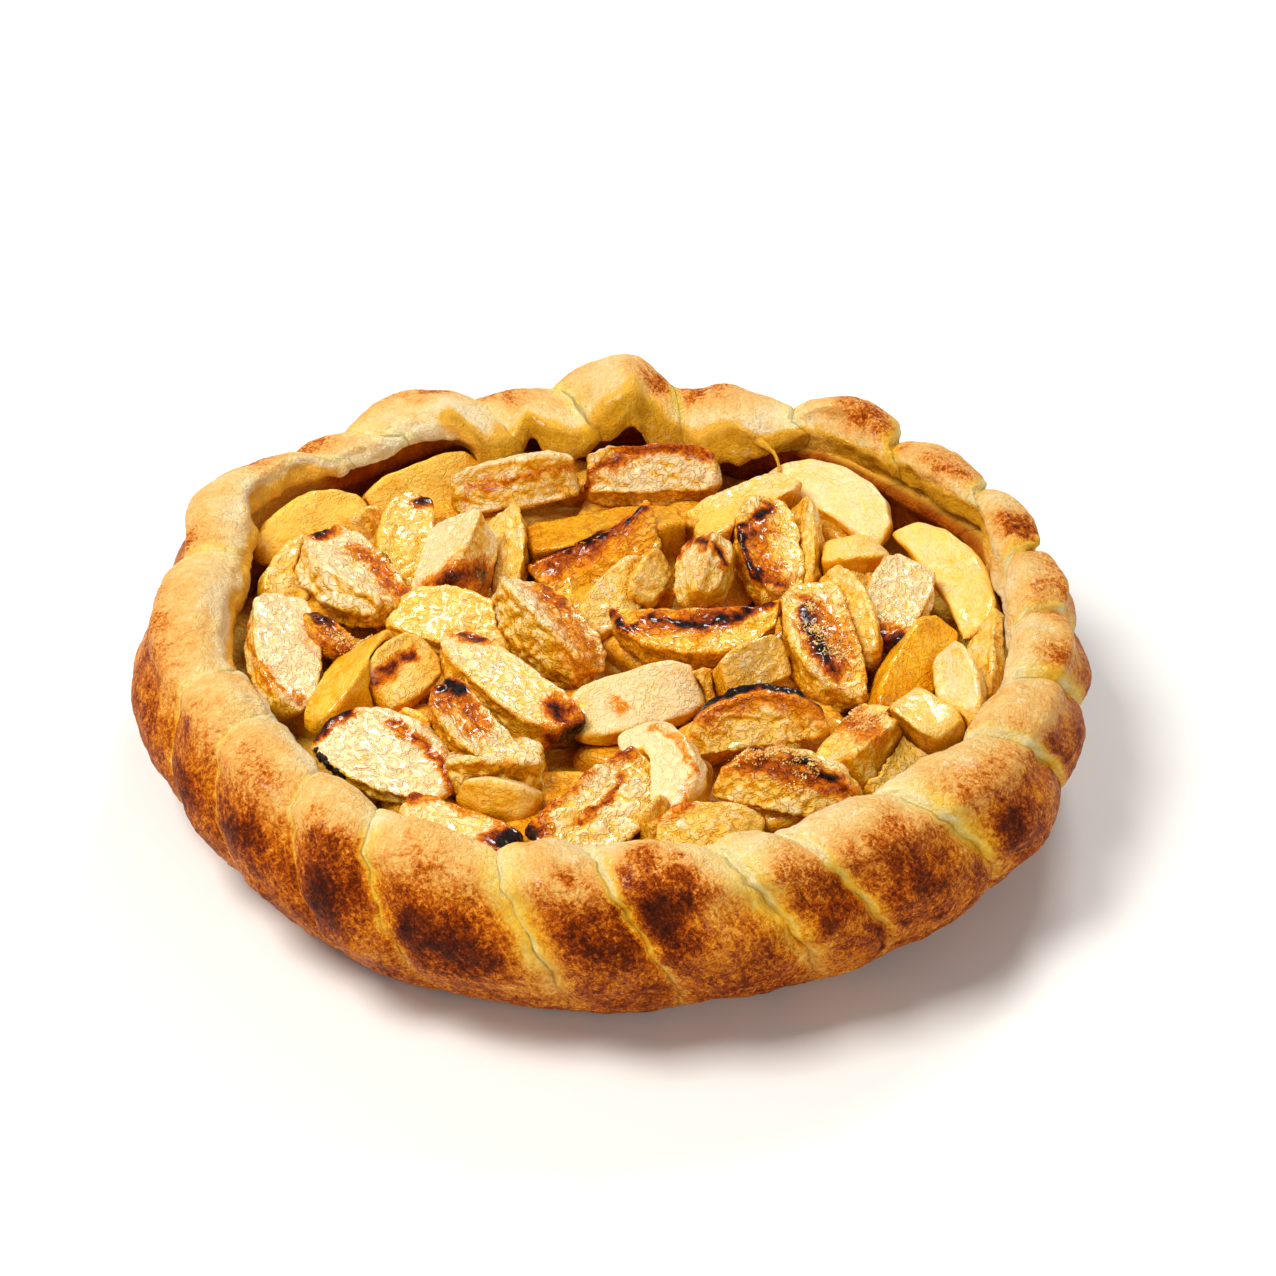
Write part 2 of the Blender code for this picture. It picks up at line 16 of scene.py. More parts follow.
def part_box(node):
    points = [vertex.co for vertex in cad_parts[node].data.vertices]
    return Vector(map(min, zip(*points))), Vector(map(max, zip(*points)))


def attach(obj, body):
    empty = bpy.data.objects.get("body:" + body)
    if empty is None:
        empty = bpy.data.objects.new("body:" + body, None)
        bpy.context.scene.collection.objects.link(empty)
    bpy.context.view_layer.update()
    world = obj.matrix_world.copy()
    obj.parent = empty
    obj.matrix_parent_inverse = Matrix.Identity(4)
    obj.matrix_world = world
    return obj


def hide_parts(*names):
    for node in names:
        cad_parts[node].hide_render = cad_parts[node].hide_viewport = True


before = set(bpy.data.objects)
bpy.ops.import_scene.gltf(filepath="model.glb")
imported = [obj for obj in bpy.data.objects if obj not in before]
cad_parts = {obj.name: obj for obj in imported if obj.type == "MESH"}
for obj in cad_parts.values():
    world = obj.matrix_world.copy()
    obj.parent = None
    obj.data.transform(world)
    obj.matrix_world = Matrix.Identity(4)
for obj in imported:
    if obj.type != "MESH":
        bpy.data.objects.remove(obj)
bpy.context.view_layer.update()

MM = 0.001

# The camera stands where the picture was taken from, and its axis meets the picture at this point
PICTURE = 1276
AXIS_POINT = (614, 682)
AIM = Vector((0, 0, 25 * MM))
CAMERA_DISTANCE = 0.9
CAMERA_ELEVATION = math.radians(38)
PIXELS_PER_RADIAN = 3240
SENSOR = 36
# Where a line of sight that misses is searched for the nearest surface: from, to and step
SIGHT_SEARCH = (0.75, 1.1, 0.004)

# The rim is not quite round: heading, radius and height of the crest, then the radii of the belly and the
# foot, in millimetres
OUTLINE = (
    (-173, 116, 51, 127, 107), (-155, 111, 51, 124.5, 107), (-141, 110, 51, 123, 104),
    (-121, 110, 50.5, 124, 107), (-104, 109.5, 50.5, 121.5, 103), (-92, 109.5, 50.5, 122, 104.5),
    (-76, 110, 50.5, 121, 101.5), (-55, 111.5, 50.5, 124, 106), (-32, 113.5, 50.5, 127, 109.5),
    (-15, 115, 50.5, 126, 108), (5, 116, 51, 126, 106), (24, 118, 51.5, 126, 106),
    (40, 112.5, 52, 122, 105), (62, 107, 50, 121, 105), (80, 108, 51, 121, 105),
    (100, 104.5, 49, 119.5, 104), (130, 110, 50.5, 122, 105), (147, 118, 51.5, 125.5, 106),
    (157, 122, 52.5, 128, 106), (168, 117, 51, 125.5, 106),
)

# The inner edge of the rim: heading, radius and height in millimetres. At the back it arches and droops
LIP_EDGE = (
    (-173, 105, 44), (-163, 100, 44), (-153, 98, 44), (-138, 98, 43), (-122, 100, 42.5), (-114, 101, 41.5),
    (-107, 101, 39.5), (-103.5, 97, 41), (-98, 92, 43), (-88, 96, 44), (-72, 99, 45), (-60, 99, 45),
    (-48, 101, 46), (-34, 105, 45), (-24, 106, 43), (-12, 108, 44), (2, 108, 44), (14, 110, 45),
    (24, 113, 48), (32, 109, 48), (42, 106, 48), (50, 108, 50), (56, 105, 50), (62, 97, 43), (68, 94, 41),
    (75, 90, 38), (82, 90, 40), (86, 92, 52), (91, 89, 48), (98, 86, 43), (101.5, 87, 44), (105, 94, 47),
    (109, 88, 43), (113.5, 88, 43), (119, 98, 51), (125, 101, 51), (131, 102, 49), (137, 105, 48),
    (147, 113, 50), (155, 115, 50), (160, 108, 46), (169, 105, 44),
)

# The folds of the twisted rim: the heading of the crease where each starts, its puff in millimetres and how
# wide the dough stays pale there, as a share of the fold
FOLDS = (
    (-164, 4, 0.1), (-152, 4.5, 0.12), (-136, 5, 0.1), (-124, 5.5, 0.2), (-105.5, 5, 0.36), (-92, 6, 0.16),
    (-75, 5.5, 0.42), (-65, 6, 0.14), (-48, 6, 0.24), (-30, 5.5, 0.12), (-16, 5.5, 0.2), (-2, 5.5, 0.14),
    (12, 5, 0.22), (27, 5, 0.14), (43, 9.5, 0.2), (60.5, 3.5, 0.22), (80, 11, 0.14), (96.5, 4, 0.24),
    (111, 8, 0.16), (130.5, 3, 0.22), (140, 6, 0.12), (168, 6, 0.16),
)

# Row by row up the outside of the section and down its inside: how many degrees the twist carries it round,
# its share of the puff, how brown it bakes on a fold and in a crease, and how many fine rows it leads with
SECTION_ROWS = (
    (10.5, 0, 0.54, 0.54, 4), (10.5, 0, 0.55, 0.55, 3), (10.5, 0, 0.56, 0.56, 8),
    (10.5, 0.1, 0.54, 0.48, 9), (10, 0.35, 0.54, 0.38, 10), (8.5, 0.75, 0.53, 0.29, 9),
    (6, 1, 0.5, 0.22, 9), (3.5, 1, 0.41, 0.15, 7), (1.5, 1, 0.3, 0.09, 6), (0, 1, 0.19, 0.05, 6),
    (-1.5, 0.75, 0.1, 0.05, 6), (-3.5, 0.35, 0.02, 0.03, 4), (-4, 0.2, 0.02, 0.03, 4),
    (-4, 0, 0.12, 0.12, 5), (-3, 0.1, 0.3, 0.3, 3), (-1, 0.1, 0.45, 0.45, 3), (0, 0, 0.55, 0.55, 3),
    (0, 0, 0.55, 0.55, 3), (0, 0, 0.5, 0.5, 2), (0, 0, 0.5, 0.5, 2), (0, 0, 0.5, 0.5, 0),
)
FLOOR_THICKNESS = 6.5
WALL_TOP = 43
SHORT_OF_WALL = 0.5
RUN_PER_DROP = 6
UNDERSIDE = 0.7
STEPS_ROUND = 880
# Millimetres round the rim for each degree
RIM_PER_DEGREE = 2.0
# Where sharp turns of the dough are smoothed: headings from, fully, until and to, and the same of rows. First
# the inner edge at the back right, then the side of the tallest fold
TIGHT_TURNS = (((38, 45, 60, 66), (8.5, 10.0, 13.5, 15.0)), ((73, 77, 83, 88), (4.5, 6.5, 11.0, 12.5)))
# Where the folded-in dough is soaked golden: headings as above, the row where that starts and its strength
GOLDEN_HEMS = (
    ((5, 25, 48, 60), 10.2, 1.0), ((50, 62, 114, 121), 9.75, 1.0), ((138, 144, 190, 205), 10.4, 0.6),
)
# How pale the edge of each fold is baked, and its width in millimetres
PALE_EDGE = 0.13
EDGE_WIDTH = 0.7

# Where the crust is browned deepest: the place in the picture, then radius in millimetres and depth of brown
BROWNED = (
    (150, 622, 9, 0.3), (152, 680, 10, 0.25), (180, 748, 7, 0.3), (204, 770, 9, 0.3), (235, 838, 9, 0.55),
    (222, 815, 7, 0.35), (182, 800, 8, 0.25), (321, 827, 5, 0.3), (326, 846, 8, 0.45), (322, 892, 11, 0.5),
    (430, 893, 12, 0.3), (410, 926, 9, 0.45), (460, 950, 9, 0.5), (540, 893, 8, 0.25), (572, 930, 8, 0.35),
    (610, 945, 9, 0.4), (640, 862, 9, 0.4), (664, 900, 8, 0.55), (690, 897, 6, 0.55), (675, 945, 10, 0.45),
    (786, 872, 9, 0.3), (832, 908, 10, 0.5), (888, 931, 5, 0.5), (900, 855, 10, 0.4), (928, 880, 8, 0.5),
    (942, 909, 4, 0.6), (968, 780, 9, 0.25), (1018, 812, 10, 0.5), (1010, 845, 9, 0.4),
    (1060, 750, 8, 0.4), (868, 412, 8, 0.55), (888, 436, 8, 0.65), (935, 458, 9, 0.45),
    (1010, 520, 8, 0.65), (1030, 548, 7, 0.55), (1035, 600, 7, 0.45), (1062, 665, 8, 0.5),
    (840, 404, 7, 0.35), (965, 480, 6, 0.35), (700, 392, 9, 0.3), (660, 380, 9, 0.5), (425, 394, 7, 0.5),
    (520, 392, 7, 0.25), (258, 462, 7, 0.5), (196, 540, 8, 0.3), (300, 448, 7, 0.25), (673, 850, 1.6, 1.2),
)
# On the side that the picture doesn't show, each fold is browned once. The headings of that side and how far
# out it bellies, then least and most degrees past the crease, height, radius and depth
FAR_SIDE = (5, 175)
BELLY = 124
BROWNED_BEHIND = ((8, 16), (22, 40), (8, 14), (0.30, 0.55))

# How each apple piece baked: how wrinkled, creamy and toasted it is, from 0 to 1, with a cream below 0 for a
# deeper amber, then each scorched line on it: width in millimetres, depth and points of the picture
PLAIN_LOOK = (0.55, 0.60, 0.45)
BED_LOOK = (0.5, 0.3, 0.4)
BED_NUMBER = 60
BAKED = {
    "wedge_dark_ridge": ((0.8, 0.15, 0.9),
        (1.7, 1, (521, 561), (560, 546), (584, 536), (594, 522), (643, 508)),
        (5, 0.55, (552, 562), (600, 540), (622, 520))),
    "wedge_dark_top": ((0.8, 0.35, 0.6),
        (1.6, 1, (606, 622), (630, 624), (655, 618), (702, 628), (735, 616), (770, 602)),
        (4.2, 0.6, (650, 622), (690, 624), (725, 614))),
    "wedge_upright": ((0.7, 0.75, 0.7), (1.6, 0.95, (680, 551), (692, 540), (706, 543), (722, 560))),
    "wedge_scorched_face": ((0.9, 0.6, 0.7),
        (1.8, 0.95, (772, 505), (758, 516), (746, 532), (746, 552), (756, 568), (778, 582)),
        (4.5, 0.42, (762, 525), (758, 550), (772, 575))),
    "wedge_wrinkled_middle": ((1, 0.95, 0.6),
        (5, 0.5, (550, 590), (562, 606)), (6, 0.35, (566, 622), (586, 646))),
    "chunk_back_middle": ((0.8, 1, 0.5),
        (1.8, 0.6, (584, 486), (600, 468), (640, 456), (682, 451), (715, 458))),
    "chunk_back_left": ((0.6, 1.05, 0.4), (1.5, 0.4, (446, 505), (470, 488), (520, 478), (570, 468))),
    "wedge_toasted_right": ((0.7, 0.85, 0.7), (3.4, 0.85, (876, 636), (890, 648), (902, 640))),
    "wedge_sugared_right": ((0.8, 0.6, 0.6),
        (2.6, 0.95, (808, 602), (806, 618), (818, 645), (832, 668)),
        (5, 0.42, (816, 610), (836, 636), (842, 664))),
    "wedge_black_rim": ((0.8, 0.6, 0.45),
        (2.1, 1.5, (700, 712), (716, 698), (740, 688), (768, 684), (798, 686), (826, 706)),
        (3.2, 0.42, (705, 716), (742, 699), (798, 697), (822, 710))),
    "slice_flat_left": ((0.7, 1, 0.7),
        (1.6, 0.95, (312, 737), (327, 722), (349, 714)),
        (1.5, 0.6, (392, 724), (405, 732), (432, 754), (450, 784))),
    "wedge_charred_tip": ((0.9, 0.85, 0.7),
        (2.2, 1.15, (444, 690), (450, 681), (460, 690)),
        (3.6, 0.5, (440, 706), (450, 690), (466, 704), (476, 728))),
    "wedge_long_middle": ((0.7, 0.75, 0.6),
        (3, 0.75, (458, 634), (480, 640)), (3.6, 0.9, (556, 712), (562, 738), (584, 728), (560, 750))),
    "wedge_front_left": ((0.7, 0.7, 0.6),
        (3.6, 1, (504, 842), (520, 832)), (2.6, 0.7, (410, 796), (424, 792)),
        (2, 0.35, (430, 800), (470, 812), (505, 828))),
    "wedge_glazed_front": ((1, 0.7, 0.6),
        (3.4, 0.9, (512, 824), (530, 832)), (2.2, 0.5, (526, 808), (545, 788), (575, 762)),
        (3, 0.65, (612, 738), (626, 750)), (1.3, 0.65, (626, 776), (610, 800), (580, 822))),
    "wedge_sugared_front": ((0.8, 0.65, 0.6),
        (2.8, 0.6, (724, 756), (760, 762), (805, 776), (846, 794)),
        (1.6, 1, (752, 750), (803, 764), (843, 792))),
    "slab_middle": ((0.2, 0.8, 0.3), (2.2, 0.3, (616, 703), (624, 709))),
    "slice_pale_front": ((0.3, 0.9, 0.4), (1.4, 0.3, (652, 728), (676, 742), (690, 770), (684, 800))),
    "wedge_front_edge": (PLAIN_LOOK, (1.6, 0.5, (646, 817), (664, 808), (690, 804))),
    "slice_wrinkled_left": ((1, 0.95, 0.6),
        (2.6, 0.9, (318, 532), (326, 530)), (3.4, 0.5, (362, 552), (388, 580), (410, 602))),
    "wedge_pointed_back": ((0.6, 0.55, 0.6), (1.9, 1, (416, 502), (425, 499))),
    "wedge_toasted_end": ((0.5, 0.9, 0.5),
        (3.8, 0.8, (430, 600), (452, 578), (484, 572)), (5, 0.4, (430, 604), (460, 600), (490, 590))),
    "scrap_brown_left": ((0.9, 0.1, 0.9),
        (3.4, 0.8, (312, 612), (328, 622)), (5, 0.5, (330, 632), (348, 650))),
    "wedge_amber_left": ((0.35, 0.5, 0.5), (1.5, 0.75, (412, 650), (392, 664), (375, 682))),
    "chunk_sugared_right": (PLAIN_LOOK, (4, 0.45, (840, 712), (862, 726), (876, 736))),
    "slice_pale_left": ((0.7, 1, 0.6), (1.5, 0.35, (248, 620), (252, 650), (268, 682), (300, 694))),
    "wedge_below_tip": ((0.9, 0.8, 0.6),),
    "wedge_low_front": ((0.1, 0.8, 0.2),),
    "chunk_amber_back": ((0.4, -0.15, 0.4),),
    "wedge_smooth_left": ((0.15, 0.2, 0.1),),
    "wedge_pale_back": ((0.3, 0.5, 0.4),),
    "slice_large_back": ((0.15, 0.75, 0.15),),
    "slice_large_right": ((0.15, 0.6, 0.2),),
    "chunk_pale_right": ((0.2, 0.55, 0.1),),
    "chunk_back_right": ((0.4, 0.6, 0.3),),
    "wedge_green_right": ((0.3, 0.1, 0.2),),
    "cone_right": ((0.3, 0.7, 0.3),),
    "knob_right": ((0.3, 0.6, 0.2),),
    "slice_wall_left": ((0.2, 0.38, 0.1),),
    "slice_wall_back": ((0.2, 0.35, 0.3),),
}

# Where sugar lies on a piece: the place in the picture, radius in millimetres and number of clumps
SUGARED = {
    "wedge_sugared_right": ((812, 606, 2.4, 16), (818, 630, 3.4, 26), (838, 650, 4, 34), (852, 616, 3.5, 14)),
    "wedge_sugared_front": ((742, 750, 3, 20), (775, 750, 4.5, 44), (806, 758, 3.5, 30)),
    "chunk_sugared_right": ((846, 708, 4, 30), (866, 722, 4.5, 34)),
    "scrap_brown_left": ((338, 640, 3.5, 30),),
    "wedge_smooth_left": ((356, 640, 3.5, 16),),
}

# Burnt juice inside the rim, and the thread of dough from the back of the rim to the apple: points of the
# picture, then how far along the thread its middle points are and its radii
BURNT_JUICE = ((316, 748), (322, 757), (328, 765), (336, 771), (344, 777))
DOUGH_THREAD = ((758, 441), (770, 450), (778, 462), (779, 484))
THREAD_SHARES = (0.35, 0.7)
THREAD_RADII = (1.6 * MM, 0.7 * MM, 0.45 * MM, 0.6 * MM)

# Scorch marks thinner than this follow the edges of their piece
THIN_SCORCH = 2.15

# How fine the meshes of pieces and bed are
EVEN = 0.55 * MM
BED_EVEN = 1.3 * MM
# Rounds of smoothing for a wrinkled piece and for a smooth one, less wrinkled than SMOOTH_LOOK
SOFTENING = 14
SMOOTH_SOFTENING = 36
SMOOTH_LOOK = 0.35
# Rings of small wedges in the bed: radius in millimetres and how many, each ring turned further
BED_RINGS = ((8, 1), (26, 6), (46, 11), (66, 15), (84, 20))
RING_TURN = 0.4

# Crevices between the solids, where the apple is darkened as painted shade, are found on a grid of cells: its
# corner, how many, rounds of blur, how far off a surface it is read, and its values in the open and in a
# crevice
CELL = 2 * MM
ROOM_CORNER = np.array((-140, -140, -10)) * MM
ROOM_CELLS = (140, 140, 45)
ROOM_BLUR = 4
REACH = 4 * MM
OPEN_ROOM = 0.18
SHUT_ROOM = 0.50


# Unevenness

LATTICE = 32
SLOPES = np.random.default_rng(5).normal(size=(LATTICE, LATTICE, LATTICE, 3))
SLOPES /= np.linalg.norm(SLOPES, axis=3, keepdims=True)


def smooth_step(values, low, high):
    share = np.clip((values - low) / (high - low), 0, 1)
    return share * share * (3 - 2 * share)


def hump(values, start, full, end, last):
    """0 up to start, 1 from full to end and 0 again past last."""
    return smooth_step(values, start, full) * (1 - smooth_step(values, end, last))


def lumps(points, size, shift=0.0):
    """Smooth unevenness at each point, `size` millimetres from hill to hollow and mostly from -1 to 1."""
    place = points / (size * MM) + shift
    cell = np.floor(place)
    part = place - cell
    cell = cell.astype(int)
    ease = part**3 * (part * (part * 6 - 15) + 10)
    total = np.zeros(len(points))
    for corner in np.ndindex(2, 2, 2):
        i, j, k = ((cell + corner) % LATTICE).T
        weight = np.prod(np.where(corner, ease, 1 - ease), axis=1)
        total += weight * np.einsum("ij,ij->i", SLOPES[i, j, k], part - corner)
    return total * 1.7


def drifted(points, size, by, shift=0.0):
    """The points moved by up to `by` millimetres, so that a pattern worked out from them flows."""
    moves = [lumps(points, size, shift + 11.3 * axis) for axis in range(3)]
    return points + by * MM * np.stack(moves, axis=1)


def creases(points, size, shift=0.0):
    """Thin winding ridges: 1 along each ridge, falling towards 0 between them."""
    return 1 - np.clip(np.abs(lumps(points, size, shift)) * 2.2, 0, 1)


# Meshes


def mesh_of(name, points, faces):
    mesh = bpy.data.meshes.new(name)
    mesh.from_pydata([tuple(point) for point in points], [], [tuple(face) for face in faces])
    mesh.validate()
    return mesh


def add_object(name, data):
    made = bpy.data.objects.new(name, data)
    bpy.context.scene.collection.objects.link(made)
    return made


def finished_piece(name, mesh, paint, slot, *nodes):
    mesh.materials.clear()
    mesh.materials.append(paint)
    piece = add_object(name, mesh)
    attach(piece, "root")
    if nodes:
        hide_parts(*nodes)
    return piece


def three_of(items, name):
    flat = np.empty(len(items) * 3)
    items.foreach_get(name, flat)
    return flat.reshape(-1, 3)


def points_of(mesh):
    return three_of(mesh.vertices, "co")


def normals_of(mesh):
    return three_of(mesh.vertex_normals, "vector")


def move_points(mesh, points):
    mesh.vertices.foreach_set("co", points.ravel())
    mesh.update()


def note(mesh, **named):
    """Keeps a number or a place for each vertex, for the materials to read."""
    for name, values in named.items():
        values = np.asarray(values, dtype=np.float32)
        kind, part = ("FLOAT", "value") if values.ndim == 1 else ("FLOAT_VECTOR", "vector")
        mesh.attributes.new(name, kind, "POINT").data.foreach_set(part, values.ravel())


def mesh_from(holder):
    """The mesh that an object makes with its modifiers. The object is removed."""
    graph = bpy.context.evaluated_depsgraph_get()
    mesh = bpy.data.meshes.new_from_object(holder.evaluated_get(graph))
    bpy.data.objects.remove(holder, do_unlink=True)
    return mesh


def weld(mesh, distance):
    """Joins the vertices that lie closer than this."""
    shape = bmesh.new()
    shape.from_mesh(mesh)
    bmesh.ops.remove_doubles(shape, verts=shape.verts, dist=distance)
    bmesh.ops.recalc_face_normals(shape, faces=shape.faces)
    shape.to_mesh(mesh)
    shape.free()


def ball(rounds):
    """A ball one unit in radius: its points and faces."""
    shape = bmesh.new()
    bmesh.ops.create_icosphere(shape, subdivisions=rounds, radius=1.0)
    points = np.array([vertex.co[:] for vertex in shape.verts])
    faces = np.array([[vertex.index for vertex in face.verts] for face in shape.faces])
    shape.free()
    return points, faces


def joined(parts):
    """The points and faces of one mesh from those of many parts."""
    points, faces = zip(*parts)
    starts = np.cumsum([0] + [len(own) for own in points])
    return np.concatenate(points), np.concatenate([own + start for own, start in zip(faces, starts)])


def neighbour_mean(mesh, values, rounds):
    """Numbers or points on the vertices, spread out to their neighbours so many times."""
    ends = np.empty(len(mesh.edges) * 2, dtype=np.int64)
    mesh.edges.foreach_get("vertices", ends)
    a, b = ends.reshape(-1, 2).T
    count = len(mesh.vertices)
    share = np.maximum(np.bincount(ends, minlength=count), 1)
    columns = values.reshape(count, -1).T
    for _ in range(rounds):
        spread = [np.bincount(a, c[b], count) + np.bincount(b, c[a], count) for c in columns]
        columns = [total / share for total in spread]
    return np.stack(columns, axis=1).reshape(values.shape)


# The camera and its lines of sight

BACKWARDS = Vector((0, -math.cos(CAMERA_ELEVATION), math.sin(CAMERA_ELEVATION)))
CAMERA_PLACE = AIM + BACKWARDS * CAMERA_DISTANCE
CAMERA_TURN = BACKWARDS.to_track_quat("Z", "Y")


def make_camera():
    data = bpy.data.cameras.new("camera")
    data.sensor_width = SENSOR
    data.lens = PIXELS_PER_RADIAN * SENSOR / PICTURE
    data.shift_x = (PICTURE / 2 - AXIS_POINT[0]) / PICTURE
    data.shift_y = (AXIS_POINT[1] - PICTURE / 2) / PICTURE
    data.dof.use_dof = False
    camera = add_object("camera", data)
    camera.location = CAMERA_PLACE
    camera.rotation_euler = CAMERA_TURN.to_euler()
    bpy.context.scene.camera = camera


def sight(point):
    """The direction of the line of sight through a point of the picture."""
    across = (point[0] - AXIS_POINT[0]) / PIXELS_PER_RADIAN
    down = (point[1] - AXIS_POINT[1]) / PIXELS_PER_RADIAN
    return (CAMERA_TURN @ Vector((across, -down, -1))).normalized()


def spot_on(tree, point):
    """The place on a surface that shows at a point of the picture, or the nearest to its sight."""
    way = sight(point)
    hit = tree.ray_cast(CAMERA_PLACE, way)
    if hit[0] is not None:
        return hit[0]
    near = [tree.find_nearest(CAMERA_PLACE + way * along) for along in np.arange(*SIGHT_SEARCH)]
    return min(near, key=lambda hit: hit[3])[0]


def tree_of(mesh):
    shape = bmesh.new()
    shape.from_mesh(mesh)
    tree = BVHTree.FromBMesh(shape)
    shape.free()
    return tree


# The crust


def around(heading, table):
    """The columns of a table of (heading, ...) rows, eased from row to row all the way round."""
    angles, *columns = np.array((*table, table[0]), dtype=float).T
    starts = angles - angles[0]
    starts[-1] = 360
    turned = (heading - angles[0]) % 360
    k = np.clip(np.searchsorted(starts, turned, side="right") - 1, 0, len(table) - 1)
    share = (turned - starts[k]) / (starts[k + 1] - starts[k])
    ease = share * share * (3 - 2 * share)
    return [values[k] + (values[k + 1] - values[k]) * ease for values in columns]


def crust_section(heading):
    """The crust cut at each heading, without its folds: radii and heights in millimetres, by row."""
    edge_r, edge_z = around(heading, LIP_EDGE)
    crest_r, crest_z, belly, foot = around(heading, OUTLINE)
    run = belly - foot
    wall_r = belly - 16
    under_z = edge_z - 2.6
    roof_z = (edge_z + WALL_TOP) / 2 - 1.5
    most_r = wall_r - SHORT_OF_WALL + RUN_PER_DROP * np.maximum(under_z - roof_z, 0)
    roof_r = np.minimum((crest_r + edge_r) / 2 + 1, most_r)
    under_r = np.minimum(edge_r + 2.6, roof_r - UNDERSIDE)
    rows = (
        (0, 0), (foot - 16, 0), (foot, 0.6), (foot + 0.46 * run, 7), (foot + 0.8 * run, 16),
        (belly, 27), (belly - 0.8, 36), (belly - 5, 44), ((belly - 5 + crest_r) / 2 + 2, crest_z - 1.8),
        (crest_r - 2, crest_z), ((crest_r + edge_r) / 2 - 1, (crest_z + edge_z) / 2 + 1.8),
        (edge_r + 1.2, edge_z + 1.6), (edge_r, edge_z - 1.2), (under_r, under_z), (roof_r, roof_z),
        (wall_r, 41), (belly - 11.5, 32), (belly - 14, 19), (foot - 7, 9.5),
        (foot - 19, FLOOR_THICKNESS), (0, FLOOR_THICKNESS),
    )
    return np.array([np.stack(np.broadcast_arrays(*row, heading)[:2], axis=-1) for row in rows])


def fine_steps():
    """Steps round, closer together at the creases: where the fold starts, its width and puff, the pale width
    here and at the next crease, and the share of the way across."""
    steps = []
    for fold, (start, puff, pale) in enumerate(FOLDS):
        after, _, next_pale = FOLDS[(fold + 1) % len(FOLDS)]
        width = (after - start) % 360
        count = round(width / 360 * STEPS_ROUND)
        for i in range(count):
            even = i / count
            share = 0.55 * even + 0.45 * (0.5 - 0.5 * math.cos(math.pi * even))
            steps.append((start, width, puff, pale, next_pale, share))
    return np.array(steps)


def curve_through(before, here, there, beyond, share):
    """The smooth curve from here to there."""
    b = there - before
    c = 2 * before - 5 * here + 4 * there - beyond
    d = beyond - 3 * there + 3 * here - before
    return (2 * here + b * share + c * share**2 + d * share**3) / 2


def fold_height(share):
    """How high a fold stands, from 0 to 1."""
    return 0.14 + 0.86 * np.sin(np.pi * share**0.9) ** 0.7


def crease_cut(share, width):
    """The height in millimetres of the crisp line where a fold starts on top of the one before it."""
    after = share * width * RIM_PER_DEGREE
    before = (1 - share) * width * RIM_PER_DEGREE
    return 1.1 * np.exp(-after / 3.5) * smooth_step(after, 0, 0.9) - 0.6 * np.exp(-((before / 1.8) ** 2))


def build_crust(paint):
    start, width, puff, pale_here, pale_next, share = fine_steps().T[..., None]
    rows = [(row, i / count) for row, (*_, count) in enumerate(SECTION_ROWS) for i in range(count)]
    last = len(SECTION_ROWS) - 1
    row, part = np.array(rows + [(last, 0)]).T
    row = row.astype(int)
    after = np.minimum(row + 1, last)
    table = np.array(SECTION_ROWS)
    ease = part * part * (3 - 2 * part)
    twist, portion, crown, pale = (table[row] + (table[after] - table[row]) * ease[:, None]).T[:4]
    heading = start + share * width + twist
    section = crust_section(heading)
    columns = np.arange(len(row))
    picks = [np.clip(row + k, 0, last) for k in (-1, 0, 1, 2)]
    corners = [section[pick, :, columns].transpose(1, 0, 2) for pick in picks]
    place = curve_through(*corners, part[None, :, None])
    ways = [corners[k + 2] - corners[k] for k in (0, 1)]
    ways = [way / np.maximum(np.linalg.norm(way, axis=2, keepdims=True), 1e-6) for way in ways]
    way = ways[0] + (ways[1] - ways[0]) * part[None, :, None]
    out = np.stack([way[..., 1], -way[..., 0]], axis=-1)
    cut = crease_cut(share, width) * (1 - 0.7 * smooth_step(row + part, 8.5, 10.0))
    place = place + out * ((puff * fold_height(share) + cut) * portion)[..., None]
    angle = np.radians(heading)
    radius, height = np.maximum(place, 0).transpose(2, 0, 1)
    points = np.stack([radius * np.cos(angle), radius * np.sin(angle), height], axis=-1)
    index = np.arange(radius.size).reshape(radius.shape)
    turned = np.roll(index, -1, axis=0)
    faces = np.stack([index[:, :-1], turned[:, :-1], turned[:, 1:], index[:, 1:]], axis=-1)
    mesh = mesh_of("crust_fine", points.reshape(-1, 3) * MM, faces.reshape(-1, 4))

    across = hump(share, 0.0, pale_here, 1 - 0.6 * pale_next, 1.0)
    bake = pale + (crown - pale) * across
    steps_up = np.linalg.norm(np.diff(place, axis=1, prepend=place[:, :1]), axis=2)
    grain = (share * width * RIM_PER_DEGREE, np.cumsum(steps_up, axis=1), start * 1.7)
    grain = np.stack(np.broadcast_arrays(*grain), axis=-1).reshape(-1, 3) * MM
    spread = np.broadcast_arrays(across, bake, row + part, heading)
    across, bake, row, heading = (values.ravel() for values in spread)
    for limits in TIGHT_TURNS:
        soften(mesh, heading, row, *limits)
    relief_on_crust(mesh, across, row, grain)
    brown_crust(mesh, across, bake, row, grain, heading)
    weld(mesh, 0.01 * MM)
    mesh.shade_smooth()
    return finished_piece("baked_crust", mesh, paint, "crust", "crust")


def soften(mesh, heading, row, turns, rows):
    """Smooths the crust between limits of heading and of row."""
    points = points_of(mesh)
    share = hump(heading, *turns) * hump(row, *rows)
    move_points(mesh, points + share[:, None] * (neighbour_mean(mesh, points, 40) - points))


